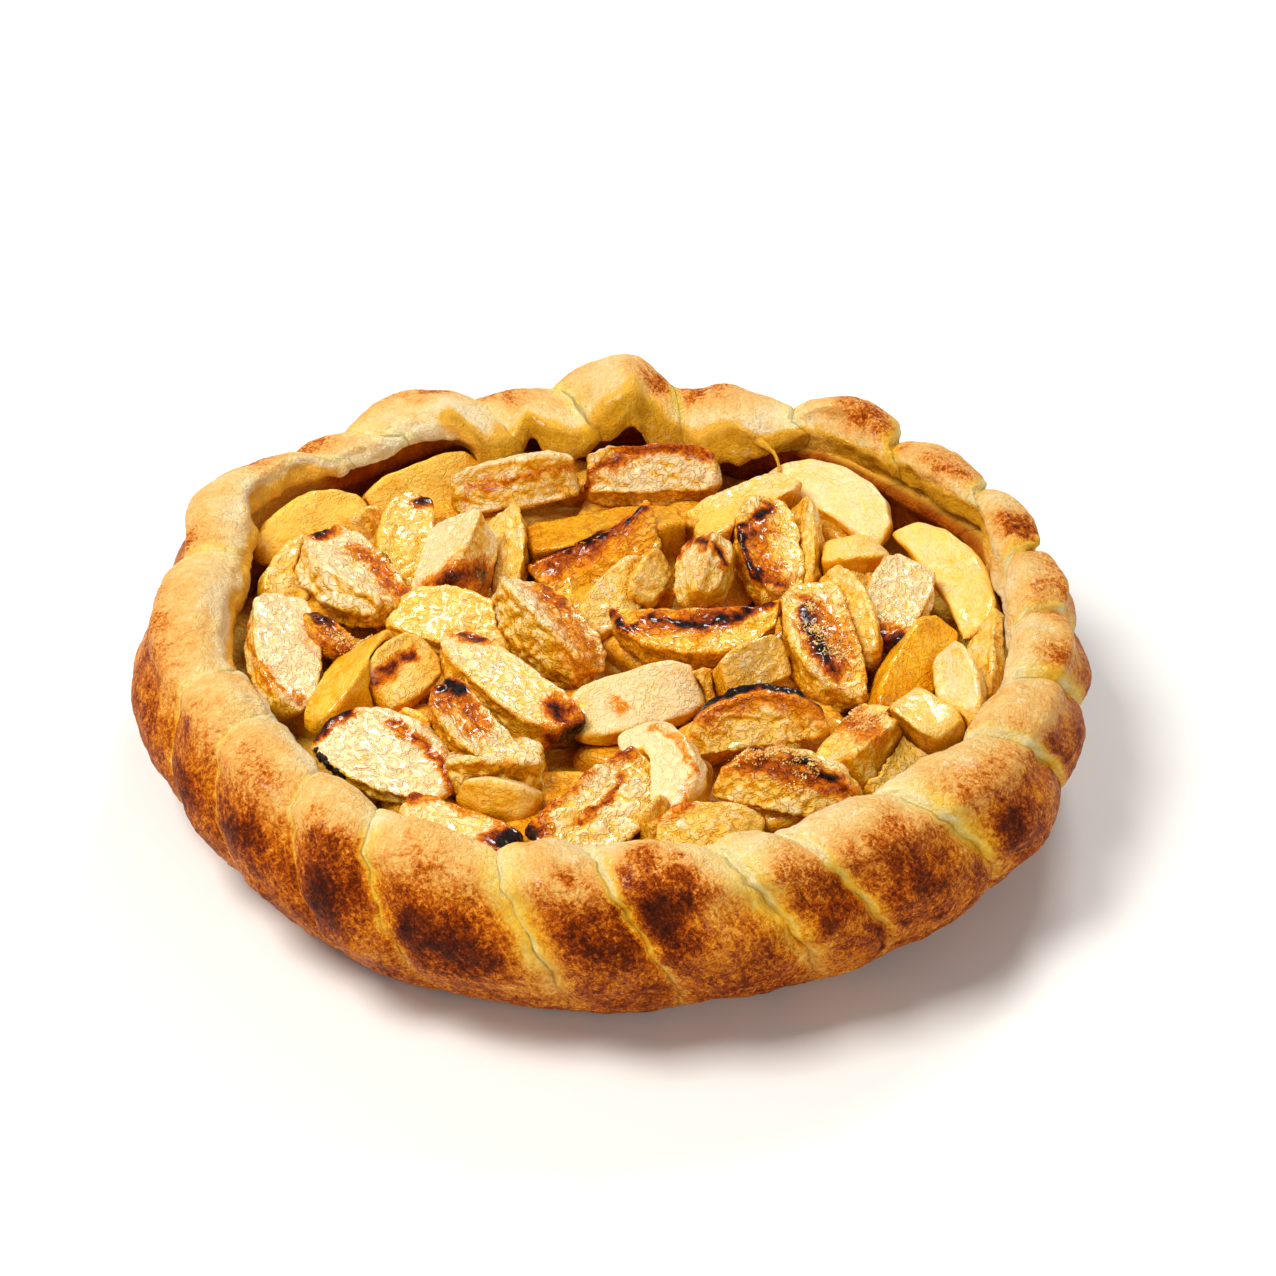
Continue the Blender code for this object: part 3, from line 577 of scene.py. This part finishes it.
def relief_on_crust(mesh, across, row, grain):
    """Lumps, fine cracks low on the wall, wrinkles along the folds and the ragged inner edge."""
    points, normals = points_of(mesh), normals_of(mesh)
    outside = hump(row, 2.0, 3.0, 13.0, 15.0)
    low = outside * (1 - smooth_step(row, 4.0, 6.5))
    edge = hump(row, 9.5, 11.0, 13.0, 14.5)
    move = outside * (0.7 * lumps(points, 16) + 0.4 * lumps(points, 7, 3.1))
    move += outside * 0.14 * lumps(points, 2.8, 7.7)
    flowing = drifted(points, 9, 3)
    move += low * (0.35 * lumps(flowing, 4, 1.9) - 0.7 * creases(flowing, 9, 4.2) ** 6)
    move += low * 0.45 * lumps(flowing * (0.5, 0.5, 2.2), 7, 6.4)
    along = drifted(grain, 8, 2.5) * (1, 0.3, 1)
    move -= outside * (1 - 0.7 * across) * 0.5 * creases(along, 4, 8.8) ** 3
    move += edge * (1.0 * lumps(points, 6, 5.5) + 0.45 * lumps(points, 2.6, 1.5))
    points = points + normals * (move * MM)[:, None]
    points[:, 2] = np.maximum(points[:, 2], 0)
    move_points(mesh, points)


def browned_spots(points, tree):
    """How much browner the crust is for its spots, those in the picture and those on the far side."""
    wavy = drifted(drifted(points, 6, 4, 9.1), 2.5, 1.6, 5.7)
    spots = [(np.array(spot_on(tree, (x, y))), radius, depth) for x, y, radius, depth in BROWNED]
    chance = np.random.default_rng(21)
    for start, *_ in FOLDS:
        if FAR_SIDE[0] < start % 360 < FAR_SIDE[1]:
            past, height, radius, depth = (chance.uniform(*limits) for limits in BROWNED_BEHIND)
            heading = math.radians(start + past)
            place = np.array((BELLY * math.cos(heading), BELLY * math.sin(heading), height)) * MM
            spots.append((place, radius, depth))
    total = np.zeros(len(points))
    for place, radius, depth in spots:
        away = np.linalg.norm(wavy - place, axis=1) / (radius * MM)
        total += depth * np.exp(-1.1 * away**2)
    return total


def brown_crust(mesh, across, bake, row, grain, heading):
    """How brown each vertex is, and where the dough stays pale or is seen from inside."""
    points = points_of(mesh)
    outside = 1 - smooth_step(row, 10.5, 12.0)
    upper = hump(row, 4.5, 6.5, 11.0, 13.0)
    crown = hump(row, 6.5, 8.5, 9.5, 11.5)
    along = grain * (1, 0.25, 1)
    streaks = lumps(along, 3.5, 3.3) + 0.6 * lumps(along, 1.7, 8.2)
    patches = 0.13 * lumps(points, 19, 2.4) + 0.10 * lumps(points, 9, 6.1) + 0.03 * streaks
    patches = patches * (0.35 + 0.65 * across)
    brown = bake + outside * (patches + 0.50 * browned_spots(points, tree_of(mesh)))
    edge_line = np.exp(-((grain[:, 0] / MM / EDGE_WIDTH - 1) ** 2))
    brown -= PALE_EDGE * upper * edge_line * (1 + lumps(points, 7, 4.9))
    turn = heading % 360 + 4 * lumps(points, 14, 5.3)
    level = row + 0.5 * lumps(points, 9, 1.1)
    # Inside the rim at the back the dough is darker: soaked with juice, and painted shade of the caves under
    # the rim
    soaked = (1 - smooth_step(turn, 138, 152)) * smooth_step(points[:, 1], -10 * MM, 45 * MM)
    hem = np.zeros(len(points))
    for limits, low, strength in GOLDEN_HEMS:
        hem = np.maximum(hem, strength * hump(turn, *limits) * smooth_step(level, low, low + 0.8))
    note(mesh, grain=grain, brown=np.clip(brown, 0, 0.9), crease=(1 - across) * upper, crown=crown * across,
         inside=smooth_step(row, 12.6, 14.0), soaked=soaked * smooth_step(row, 12.8, 14.2),
         flap=hem * (1 - smooth_step(row, 13.5, 15.0)))


# The apple


def crowded_room():
    """How much surface of the solids lies round each cell of the room."""
    room = np.zeros(ROOM_CELLS)
    chance = np.random.default_rng(3)
    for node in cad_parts.values():
        mesh = node.data
        mesh.calc_loop_triangles()
        corners = points_of(mesh)[[triangle.vertices[:] for triangle in mesh.loop_triangles]]
        edges = corners[:, 1:] - corners[:, :1]
        area = np.linalg.norm(np.cross(edges[:, 0], edges[:, 1]), axis=1) / 2
        picked = np.repeat(np.arange(len(area)), np.ceil(area / CELL**2 * 2).astype(int))
        u, v = chance.uniform(size=(2, len(picked), 1))
        fold = u + v > 1
        u, v = np.where(fold, 1 - u, u), np.where(fold, 1 - v, v)
        places = corners[picked, 0] + edges[picked, 0] * u + edges[picked, 1] * v
        np.add.at(room, tuple(cells_of(places).T), 0.5)
    for _ in range(ROOM_BLUR):
        for axis in range(3):
            room = (np.roll(room, 1, axis) + 2 * room + np.roll(room, -1, axis)) / 4
    return room


def cells_of(points):
    return np.clip(((points - ROOM_CORNER) / CELL).astype(int), 0, np.array(ROOM_CELLS) - 1)


def crevice_shade_share(mesh):
    """How shut in by other surfaces each vertex is, from 0 in the open to 1 in a crevice: where shade is
    painted.
    """
    out = points_of(mesh) + normals_of(mesh) * REACH
    full = CROWDED[tuple(cells_of(out).T)]
    return smooth_step(neighbour_mean(mesh, full, 6), OPEN_ROOM, SHUT_ROOM)


def fine_copy(node, size, softening):
    """The node's own solid with an even, closed mesh and its facets smoothed."""
    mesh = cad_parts[node].data.copy()
    weld(mesh, 0.002 * MM)
    holder = add_object(f"{node}_rough", mesh)
    even = holder.modifiers.new("even", "REMESH")
    even.mode = "VOXEL"
    even.voxel_size = size
    soft = holder.modifiers.new("soft", "SMOOTH")
    soft.factor = 0.5
    soft.iterations = softening
    fine = mesh_from(holder)
    fine.name = f"{node}_fine"
    while fine.attributes.get("UVMap"):
        fine.attributes.remove(fine.attributes["UVMap"])
    return fine


def own_places(points, number):
    """The points along, across and through their own piece, shortened so that patterns run along it."""
    centred = points - points.mean(axis=0)
    ways = np.linalg.svd(centred[::7], full_matrices=False)[2]
    return centred @ ways.T * (0.8, 1, 1) + number * 0.037


def puckers(points, size, shift):
    """Soft swellings of this size: 1 on a swelling, 0 in the thin creases between them."""
    return np.clip(np.abs(lumps(points, size, shift)) / 0.5, 0, 1) ** 0.65


def apple_relief(mesh, wrinkled, number):
    """Sinks the faces between raised edges and wrinkles them. Gives how sharp an edge each vertex is on."""
    points, normals = points_of(mesh), normals_of(mesh)
    mean = neighbour_mean(mesh, points, 20)
    edge = np.clip(np.einsum("ij,ij->i", points - mean, normals) / (0.8 * MM), -1, 1)
    own = own_places(points, number)
    big = puckers(drifted(own, 7, 5), 6.5, 0.7)
    small = puckers(drifted(own, 4, 3, 6.0), 3.2, 5.1)
    note(mesh, own=own, wrinkle=0.5 * big + 0.5 * small)
    move = 0.7 * lumps(own, 12, 2.2) + 0.25 * lumps(own, 5, 4.4)
    move += wrinkled**1.3 * (1.1 * big + 0.7 * small - 1.0) * (1 - 0.4 * np.clip(edge, 0, 1))
    move -= 0.5 * wrinkled * (1 - smooth_step(edge, 0.0, 0.5))
    move += 0.4 * (0.4 + wrinkled) * np.clip(edge, 0, 1) * (1 + 0.6 * lumps(own, 5, 7.7))
    move = neighbour_mean(mesh, move, 1)
    move_points(mesh, points + normals * (move * MM)[:, None])
    return edge


def line_distance(points, line):
    """How far each point is from a line through several places."""
    nearest = np.full(len(points), np.inf)
    for a, b in zip(line[:-1], line[1:]):
        run = b - a
        along = np.clip((points - a) @ run / max(run @ run, 1e-12), 0, 1)
        nearest = np.minimum(nearest, np.linalg.norm(points - a - along[:, None] * run, axis=1))
    return nearest


def snapped(place, points, edge):
    """The sharpest place on an edge near a place."""
    away = np.linalg.norm(points - place, axis=1)
    return points[np.argmax(edge - (away / (3.5 * MM)) ** 2)]


def scorch_of(mesh, edge, scorched):
    """How scorched each vertex of a piece is. Thin lines follow its edges."""
    points = points_of(mesh)
    scorch = np.zeros(len(points))
    wavy = drifted(points, 4, 1.8, 3.3)
    tree = tree_of(mesh)
    for width, depth, *line in scorched:
        places = [np.array(spot_on(tree, point)) for point in line]
        if width < THIN_SCORCH:
            places = [snapped(place, points, edge) for place in places]
        away = line_distance(wavy, places) / (width * MM)
        uneven = 1 + 0.45 * lumps(points, 5, 6.6)
        scorch = np.maximum(scorch, depth * np.exp(-0.7 * np.clip(away / uneven, 0, 9) ** 1.7))
    return scorch


def note_apple(mesh, look, number, scorched=()):
    """Gives an apple mesh its relief and notes what its colour depends on."""
    wrinkled, creamy, toasted = look
    edge = apple_relief(mesh, wrinkled, number)
    points, normals = points_of(mesh), normals_of(mesh)
    up = smooth_step(normals[:, 2] + 0.3 * lumps(points, 7, 1.7), -0.2, 0.8)
    # Painted shade: the colour darkens where the piece lies shut in a crevice between others
    note(mesh, rim=smooth_step(edge + 0.3 * lumps(points, 5, 9.2), 0.3, 0.95),
         skin=np.clip(wrinkled + 0.3 * lumps(points, 9, 3.7), 0.04, 1),
         cream=creamy * (up if creamy > 0 else np.ones(len(points))), scorch=scorch_of(mesh, edge, scorched),
         toast=np.full(len(points), toasted), sunk=crevice_shade_share(mesh))
    mesh.shade_smooth()


def build_apple_piece(node, number, paint):
    look, *scorched = BAKED.get(node, (PLAIN_LOOK,))
    mesh = fine_copy(node, EVEN, SMOOTH_SOFTENING if look[0] < SMOOTH_LOOK else SOFTENING)
    note_apple(mesh, look, number, scorched)
    return finished_piece(f"baked_{node}", mesh, paint, "apple_piece", node)


def small_wedge(chance):
    """A small rounded wedge of apple lying at random: its points, round the origin, and faces."""
    size = np.array((chance.uniform(13, 21), chance.uniform(7, 10), chance.uniform(6, 8))) * MM
    points, faces = ball(4)
    points = np.sign(points) * np.abs(points) ** 0.8
    points[:, 1] *= 0.55 + 0.45 * points[:, 2]
    turn = Matrix.Rotation(chance.uniform(0, math.tau), 3, "Z")
    tilt = Matrix.Rotation(chance.uniform(-0.5, 0.5), 3, "X")
    return points * size @ np.array(turn @ tilt).T, faces


def build_bed(paint):
    """The apple under the pieces that show: the bed's own solid with small wedges lying in it."""
    mesh = fine_copy("apple_bed", BED_EVEN, SOFTENING)
    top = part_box("apple_bed")[1].z
    wedges = []
    chance = np.random.default_rng(8)
    for ring, (radius, count) in enumerate(BED_RINGS):
        for i in range(count):
            angle = math.tau * (i + chance.uniform(-0.2, 0.2)) / count + RING_TURN * ring
            points, faces = small_wedge(chance)
            place = (radius * math.cos(angle), radius * math.sin(angle), chance.uniform(-3, 1.5))
            wedges.append((points + np.array(place) * MM + (0, 0, top), faces))
    shape = bmesh.new()
    shape.from_mesh(mesh)
    shape.from_mesh(mesh_of("wedges", *joined(wedges)))
    shape.to_mesh(mesh)
    shape.free()
    note_apple(mesh, BED_LOOK, BED_NUMBER)
    finished_piece("baked_apple_bed", mesh, paint, "apple_bed", "apple_bed")


# Sugar, burnt juice and dough


def crumb(chance, rounds):
    """An uneven lump about one unit in radius: its points and faces."""
    points, faces = ball(rounds)
    points = points * chance.uniform(0.7, 1.3, size=(len(points), 1))
    return points * chance.uniform(0.6, 1.2, size=3), faces


def build_sugar(pieces):
    """Crumbly sugar, in clumps of grains, on a few of the apple pieces."""
    chance = np.random.default_rng(13)
    grains, tones = [], []
    patches = [(tree_of(pieces[node].data), patch) for node, rows in SUGARED.items() for patch in rows]
    for tree, (across, down, radius, count) in patches:
        centre = spot_on(tree, (across, down))
        for _ in range(count):
            x, y = chance.normal(size=2) * 0.55 * radius * MM
            hit = tree.ray_cast(centre + Vector((x, y, 20 * MM)), Vector((0, 0, -1)))
            if hit[0] is None or hit[3] > 30 * MM:
                continue
            clump, clump_tone = chance.uniform(0.3, 0.9) * MM, chance.uniform(0, 0.8)
            for _ in range(int(chance.integers(5, 14))):
                near = tree.find_nearest(hit[0] + Vector(chance.normal(size=3) * clump))
                size = chance.uniform(0.14, 0.32) * MM
                points, faces = crumb(chance, 1)
                place = np.array(near[0] + near[1] * (size * 0.5 + abs(chance.normal()) * 0.3 * clump))
                grains.append((points * size + place, faces))
                tones.append(np.full(len(points), clump_tone + chance.uniform(0, 0.2)))
    mesh = mesh_of("sugar", *joined(grains))
    note(mesh, tone=np.concatenate(tones))
    finished_piece("sugar_crumbs", mesh, sugar_paint(), "apple_piece")


def build_burnt_juice(crust, slice_beside):
    """The black crumbs of burnt juice between the rim and the flat slice at the left."""
    chance = np.random.default_rng(17)
    trees = [tree_of(crust.data), tree_of(slice_beside.data)]
    crumbs = []
    for a, b in zip(BURNT_JUICE[:-1], BURNT_JUICE[1:]):
        for share in np.arange(0, 1, 0.16):
            point = [a[i] + (b[i] - a[i]) * share + chance.normal() * 1.2 for i in (0, 1)]
            place = max((spot_on(tree, point) for tree in trees), key=lambda spot: spot.z)
            points, faces = crumb(chance, 2)
            crumbs.append((points * chance.uniform(0.5, 1.1) * MM + np.array(place), faces))
    mesh = mesh_of("juice", *joined(crumbs))
    mesh.shade_smooth()
    finished_piece("burnt_juice", mesh, char_paint(), "apple_piece")


def build_dough_thread(crust, slice_below, paint):
    """The thin strand of dough that sags from the rim at the back onto the apple."""
    first = spot_on(tree_of(crust.data), DOUGH_THREAD[0])
    last = spot_on(tree_of(slice_below.data), DOUGH_THREAD[-1])
    middle = []
    for share, point in zip(THREAD_SHARES, DOUGH_THREAD[1:-1]):
        way = sight(point)
        middle.append(CAMERA_PLACE + way * (first + (last - first) * share - CAMERA_PLACE).dot(way))
    curve = bpy.data.curves.new("dough_thread", "CURVE")
    curve.dimensions = "3D"
    curve.bevel_depth = 1.0
    curve.bevel_resolution = 3
    curve.use_fill_caps = True
    spline = curve.splines.new("BEZIER")
    spline.bezier_points.add(len(DOUGH_THREAD) - 1)
    for knot, place, radius in zip(spline.bezier_points, (first, *middle, last), THREAD_RADII):
        knot.co = place
        knot.radius = radius
        knot.handle_left_type = knot.handle_right_type = "AUTO"
    mesh = mesh_from(add_object("thread_curve", curve))
    points = points_of(mesh)
    move_points(mesh, drifted(points, 2.5, 0.3))
    note(mesh, brown=0.12 + 0.05 * lumps(points, 3), flap=np.full(len(points), 0.8))
    mesh.shade_smooth()
    finished_piece("dough_thread", mesh, paint, "crust")


# Materials


class Wire:
    """A value in a material. Sums with it add Math nodes."""

    def __init__(self, paint, socket):
        self.paint = paint
        self.socket = socket

    def __add__(self, other):
        return self.paint.sum("ADD", self, other)

    def __sub__(self, other):
        return self.paint.sum("SUBTRACT", self, other)

    def __rsub__(self, other):
        return self.paint.sum("SUBTRACT", other, self)

    def __mul__(self, other):
        return self.paint.sum("MULTIPLY", self, other)

    __radd__ = __add__
    __rmul__ = __mul__


class Paint:
    """A material that is being mixed."""

    def __init__(self, name):
        self.material = bpy.data.materials.new(name)
        self.material.use_nodes = True
        self.tree = self.material.node_tree
        self.shader = self.tree.nodes["Principled BSDF"]

    def feed(self, socket, value):
        if isinstance(value, Wire):
            self.tree.links.new(value.socket, socket)
        else:
            socket.default_value = value

    def node(self, kind, settings=None, inputs=None, output=0):
        """Adds a node with its settings, then the values or links of its sockets, and gives one output."""
        made = self.tree.nodes.new(kind)
        for name, value in (settings or {}).items():
            if name == "stops":
                self.set_stops(made.color_ramp, value)
            else:
                setattr(made, name, value)
        for name, value in (inputs or {}).items():
            self.feed(made.inputs[name], value)
        return Wire(self, made.outputs[output])

    def set_stops(self, ramp, stops):
        while len(ramp.elements) < len(stops):
            ramp.elements.new(1.0)
        for element, (place, *colour) in zip(ramp.elements, stops):
            element.position = place
            element.color = seen(*colour)

    def sum(self, operation, a, b):
        return self.node("ShaderNodeMath", {"operation": operation}, {0: a, 1: b})

    def vector(self, operation, inputs):
        return self.node("ShaderNodeVectorMath", {"operation": operation}, inputs)

    def noted(self, name, output="Fac"):
        return self.node("ShaderNodeAttribute", {"attribute_name": name}, output=output)

    def place(self):
        return self.node("ShaderNodeTexCoord", output="Object")

    def cloudy(self, size, detail=3.0, roughness=0.55, distortion=0.0, place=None):
        """Noise from 0 to 1 whose lumps are `size` millimetres across."""
        inputs = {
            "Vector": place or self.place(), "Scale": 1 / (size * MM), "Detail": detail,
            "Roughness": roughness, "Distortion": distortion,
        }
        return self.node("ShaderNodeTexNoise", {}, inputs, output="Fac")

    def bent(self, place, size, by):
        """The place moved by up to `by` millimetres, so that a pattern there flows."""
        inputs = {"Vector": place, "Scale": 1 / (size * MM), "Detail": 2.0}
        noise = self.node("ShaderNodeTexNoise", {}, inputs, output="Color")
        away = self.vector("SUBTRACT", {0: noise, 1: (0.5, 0.5, 0.5)})
        return self.vector("ADD", {0: place, 1: self.vector("SCALE", {0: away, "Scale": 2 * by * MM})})

    def puckered(self, size, place, width=0.08):
        """Swellings `size` millimetres across: 0 in the thin creases, rising to 1 between them."""
        away = self.sum("ABSOLUTE", self.cloudy(size, 2, 0.5, 0.0, place) - 0.5, 0.0)
        return self.between(away, 0.0, width)

    def mottled(self, *noise):
        """Cloudy noise with its middle values pulled apart, from -0.5 to 0.5."""
        return self.between(self.cloudy(*noise), 0.34, 0.66) - 0.5

    def between(self, value, low, high):
        """0 below low, 1 above high and smooth between."""
        inputs = {"Value": value, "From Min": low, "From Max": high}
        return self.node("ShaderNodeMapRange", {"interpolation_type": "SMOOTHSTEP"}, inputs)

    def blend(self, share, a, b):
        settings = {"data_type": "RGBA", "clamp_factor": True}
        return self.node("ShaderNodeMix", settings, {0: share, 6: a, 7: b}, output=2)

    def layers(self, value, colour, added):
        """A colour under others, each laid on as the value rises from its low to its high."""
        for low, high, other in added:
            colour = self.blend(self.between(value, low, high), colour, other)
        return colour

    def ramp(self, value, stops):
        """The colours of the stops, each a value and a colour as seen on a screen."""
        return self.node("ShaderNodeValToRGB", {"stops": stops}, {"Fac": value})

    def bump(self, height, depth):
        return self.node("ShaderNodeBump", {}, {"Height": height, "Distance": depth * MM, "Strength": 1.0})

    def finish(self, colour, roughness, normal, others=None):
        inputs = {"Base Color": colour, "Roughness": roughness, "Normal": normal, **(others or {})}
        for name, value in inputs.items():
            self.feed(self.shader.inputs[name], value)
        return self.material


def seen(*screen):
    """A screen colour, 0 to 255, in the numbers that light adds up in."""
    return *(v / 255 / 12.92 if v < 11 else ((v / 255 + 0.055) / 1.055) ** 2.4 for v in screen), 1


CREAM = seen(255, 220, 166)
BUTTER = seen(255, 203, 88)
GOLD = seen(244, 180, 24)
AMBER = seen(238, 161, 8)
DEEP = seen(208, 128, 0)


def crust_paint():
    paint = Paint("golden_crust")
    names = ("brown", "crease", "crown", "inside", "soaked", "flap")
    brown, crease, crown, inside, soaked, flap = (paint.noted(name) for name in names)
    place = paint.place()
    long = paint.vector("MULTIPLY", {0: paint.noted("grain", "Vector"), 1: (1.0, 0.35, 1.0)})
    flecks = paint.mottled(0.9, 5, 0.65, 0.8, place)
    spots = paint.mottled(3.2, 5, 0.6, 1.2, place)
    clouds = paint.cloudy(9, 4, 0.6, 0.8, place)
    streaks = paint.mottled(2.4, 4, 0.65, 1.4, long)
    veins = 1 - paint.puckered(2.4, paint.bent(place, 3, 2), 0.16)
    strength = 0.5 + 0.5 * paint.between(brown, 0.14, 0.46)
    uneven = 0.20 * flecks + 0.13 * spots + 0.10 * streaks + 0.32 * (clouds - 0.5)
    level = brown + strength * uneven - 0.07 * veins * paint.between(brown, 0.46, 0.62)
    baked = paint.ramp(level, (
        (0.00, 255, 241, 202), (0.12, 255, 223, 152), (0.24, 252, 190, 90), (0.36, 242, 152, 36),
        (0.47, 210, 108, 6), (0.57, 164, 68, 0), (0.67, 118, 42, 0), (0.79, 80, 26, 2), (1.0, 36, 13, 6),
    ))
    folded = paint.ramp(level, (
        (0.00, 255, 238, 180), (0.12, 255, 220, 116), (0.24, 255, 204, 56), (0.36, 250, 174, 20),
        (0.48, 218, 120, 0), (0.65, 144, 56, 0), (1.0, 50, 18, 6),
    ))
    colour = paint.blend(crease, baked, folded)
    # Painted sheen: the crowns of the folds are tinted paler, as where the glaze catches the light
    colour = paint.blend(0.35 * crown * (1 - paint.between(level, 0.3, 0.5)), colour, seen(254, 208, 140))
    lit = paint.blend(clouds, seen(246, 190, 78), seen(226, 150, 26))
    # Inside at the back: juice-soaked dough, darkened further as painted shade of the caves
    shaded_soaked_dough = paint.blend(paint.between(clouds, 0.35, 0.7), seen(150, 58, 0), seen(205, 104, 10))
    colour = paint.blend(inside, colour, paint.blend(soaked, lit, shaded_soaked_dough))
    golden = paint.blend(clouds, seen(188, 112, 0), seen(236, 180, 38))
    colour = paint.layers(flap, colour, ((0.0, 0.5, seen(252, 190, 66)), (0.55, 1.0, golden)))
    height = 0.7 * flecks + 0.9 * spots + 0.6 * streaks - 0.6 * veins * (1 - crease)
    shine = (0.3 + 0.2 * flap) * paint.between(spots, -0.1, 0.4) * (1 - paint.between(level, 0.35, 0.7))
    others = {"Coat Weight": shine * (1 - inside), "Coat Roughness": 0.22, "Specular IOR Level": 0.07}
    return paint.finish(colour, 0.38 + 0.25 * clouds, paint.bump(height, 0.34), others)


def apple_paint():
    paint = Paint("baked_apple")
    names = ("rim", "wrinkle", "cream", "scorch", "toast", "skin", "sunk")
    rim, wrinkle, cream, scorch, toast, skin, sunk = (paint.noted(name) for name in names)
    own = paint.noted("own", "Vector")
    flecks = paint.mottled(0.8, 3, 0.6, 0.6, own)
    web = paint.mottled(2.4, 4, 0.6, 1.2, own)
    clouds = paint.cloudy(9, 3, 0.55, 0.8, own)
    fine = paint.puckered(2.0, paint.bent(own, 2.5, 1.8))
    # Painted shade: the flesh turns amber and less pale in the crevices between the pieces
    flesh = paint.blend(paint.between(clouds + 0.12 * web - 0.2 * sunk, 0.35, 0.65), AMBER, GOLD)
    pale = 1.1 * cream - 0.25 * sunk + skin * (0.8 * (wrinkle - 0.68) + 0.35 * (fine - 0.75))
    pale = pale + (0.16 + 0.04 * skin) * web + 0.06 * flecks + 0.5 * (clouds - 0.5)
    colour = paint.layers(pale, DEEP, ((-0.5, 0.05, flesh), (0.05, 0.45, BUTTER), (0.45, 0.95, CREAM)))
    toasted = rim + 0.14 * web + 0.08 * flecks + 0.6 * (clouds - 0.5) - 0.2 * (fine - 0.6)
    colour = paint.blend(paint.between(toasted, 0.25, 0.9) * (0.3 + 0.5 * toast), colour, seen(244, 162, 22))
    colour = paint.blend(paint.between(toasted, 0.95, 1.25) * toast, colour, seen(188, 84, 2))
    burn = scorch + paint.between(scorch, 0.02, 0.2) * (0.12 * web + 0.08 * flecks - 0.10 * (fine - 0.6))
    colour = paint.layers(burn, colour, (
        (0.04, 0.28, seen(234, 142, 12)), (0.22, 0.50, seen(190, 86, 4)), (0.44, 0.70, seen(112, 36, 4)),
        (0.66, 0.88, seen(24, 11, 7)),
    ))
    height = (0.2 + 0.8 * skin) * fine + 0.25 * web + 0.10 * flecks
    roughness = 0.30 + 0.25 * clouds + 0.10 * paint.between(burn, 0.3, 0.8)
    return paint.finish(colour, roughness, paint.bump(height, 0.55), {
        "Coat Weight": 0.25 + 0.75 * paint.between(web, -0.1, 0.2), "Coat Roughness": 0.12,
        "Subsurface Weight": 0.25, "Subsurface Scale": 4 * MM, "Specular IOR Level": 0.06,
    })


def sugar_paint():
    paint = Paint("crumbly_sugar")
    tone = paint.noted("tone")
    colour = paint.ramp(tone, ((0.0, 186, 112, 30), (0.35, 226, 168, 78), (0.9, 250, 222, 150)))
    return paint.finish(colour, 0.5 + 0.2 * tone, paint.bump(paint.cloudy(0.4, 2), 0.1))


def char_paint():
    paint = Paint("burnt_sugar_juice")
    uneven = paint.cloudy(0.8, 4, 0.6, 0.5)
    colour = paint.ramp(uneven, ((0.3, 22, 12, 9), (0.6, 44, 22, 12), (0.75, 96, 44, 14)))
    others = {"Specular IOR Level": 0.3}
    return paint.finish(colour, 0.3 + 0.4 * uneven, paint.bump(uneven, 0.4), others)


# The studio

FLOOR_LEVEL = -0.3 * MM


def build_floor():
    corners = [(x, y, FLOOR_LEVEL) for x, y in ((-4, -4), (4, -4), (4, 4), (-4, 4))]
    floor = add_object("studio_floor", mesh_of("floor", corners, [(0, 1, 2, 3)]))
    paint = Paint("pale_floor")
    soft = paint.cloudy(200, 2)
    colour = paint.blend(soft, (0.86, 0.86, 0.85, 1), (0.88, 0.88, 0.87, 1))
    normal = paint.bump(paint.cloudy(2, 2), 0.02)
    floor.data.materials.append(paint.finish(colour, 0.6 + 0.1 * soft, normal))


def area_light(name, place, size, power, colour):
    data = bpy.data.lights.new(name, "AREA")
    data.shape = "SQUARE"
    data.size = size
    data.energy = power
    data.color = colour
    light = add_object(name, data)
    light.location = place
    light.rotation_euler = (Vector(place) - AIM).to_track_quat("Z", "Y").to_euler()


def light_studio():
    area_light("key_light", (-0.7, -0.2, 1.3), 0.6, 22.5, (1.0, 0.97, 0.91))
    area_light("front_light", (0.6, -1.2, 0.7), 0.7, 5.0, (1.0, 0.98, 0.93))
    area_light("back_light", (0.4, 1.0, 1.1), 0.4, 9.5, (1.0, 0.98, 0.96))
    world = bpy.data.worlds.new("studio")
    bpy.context.scene.world = world
    world.use_nodes = True
    glow = world.node_tree.nodes["Background"].inputs
    glow["Color"].default_value = (1.0, 0.99, 0.97, 1)
    glow["Strength"].default_value = 0.24
    bpy.context.scene.view_settings.view_transform = "Standard"


make_camera()
CROWDED = crowded_room()
dough = crust_paint()
baked_crust = build_crust(dough)
apple = apple_paint()
apple_nodes = sorted(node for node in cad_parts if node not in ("crust", "apple_bed"))
apple_pieces = {node: build_apple_piece(node, i, apple) for i, node in enumerate(apple_nodes)}
build_bed(apple)
build_sugar(apple_pieces)
build_burnt_juice(baked_crust, apple_pieces["slice_flat_left"])
build_dough_thread(baked_crust, apple_pieces["slice_large_back"], dough)
build_floor()
light_studio()

bpy.context.view_layer.update()
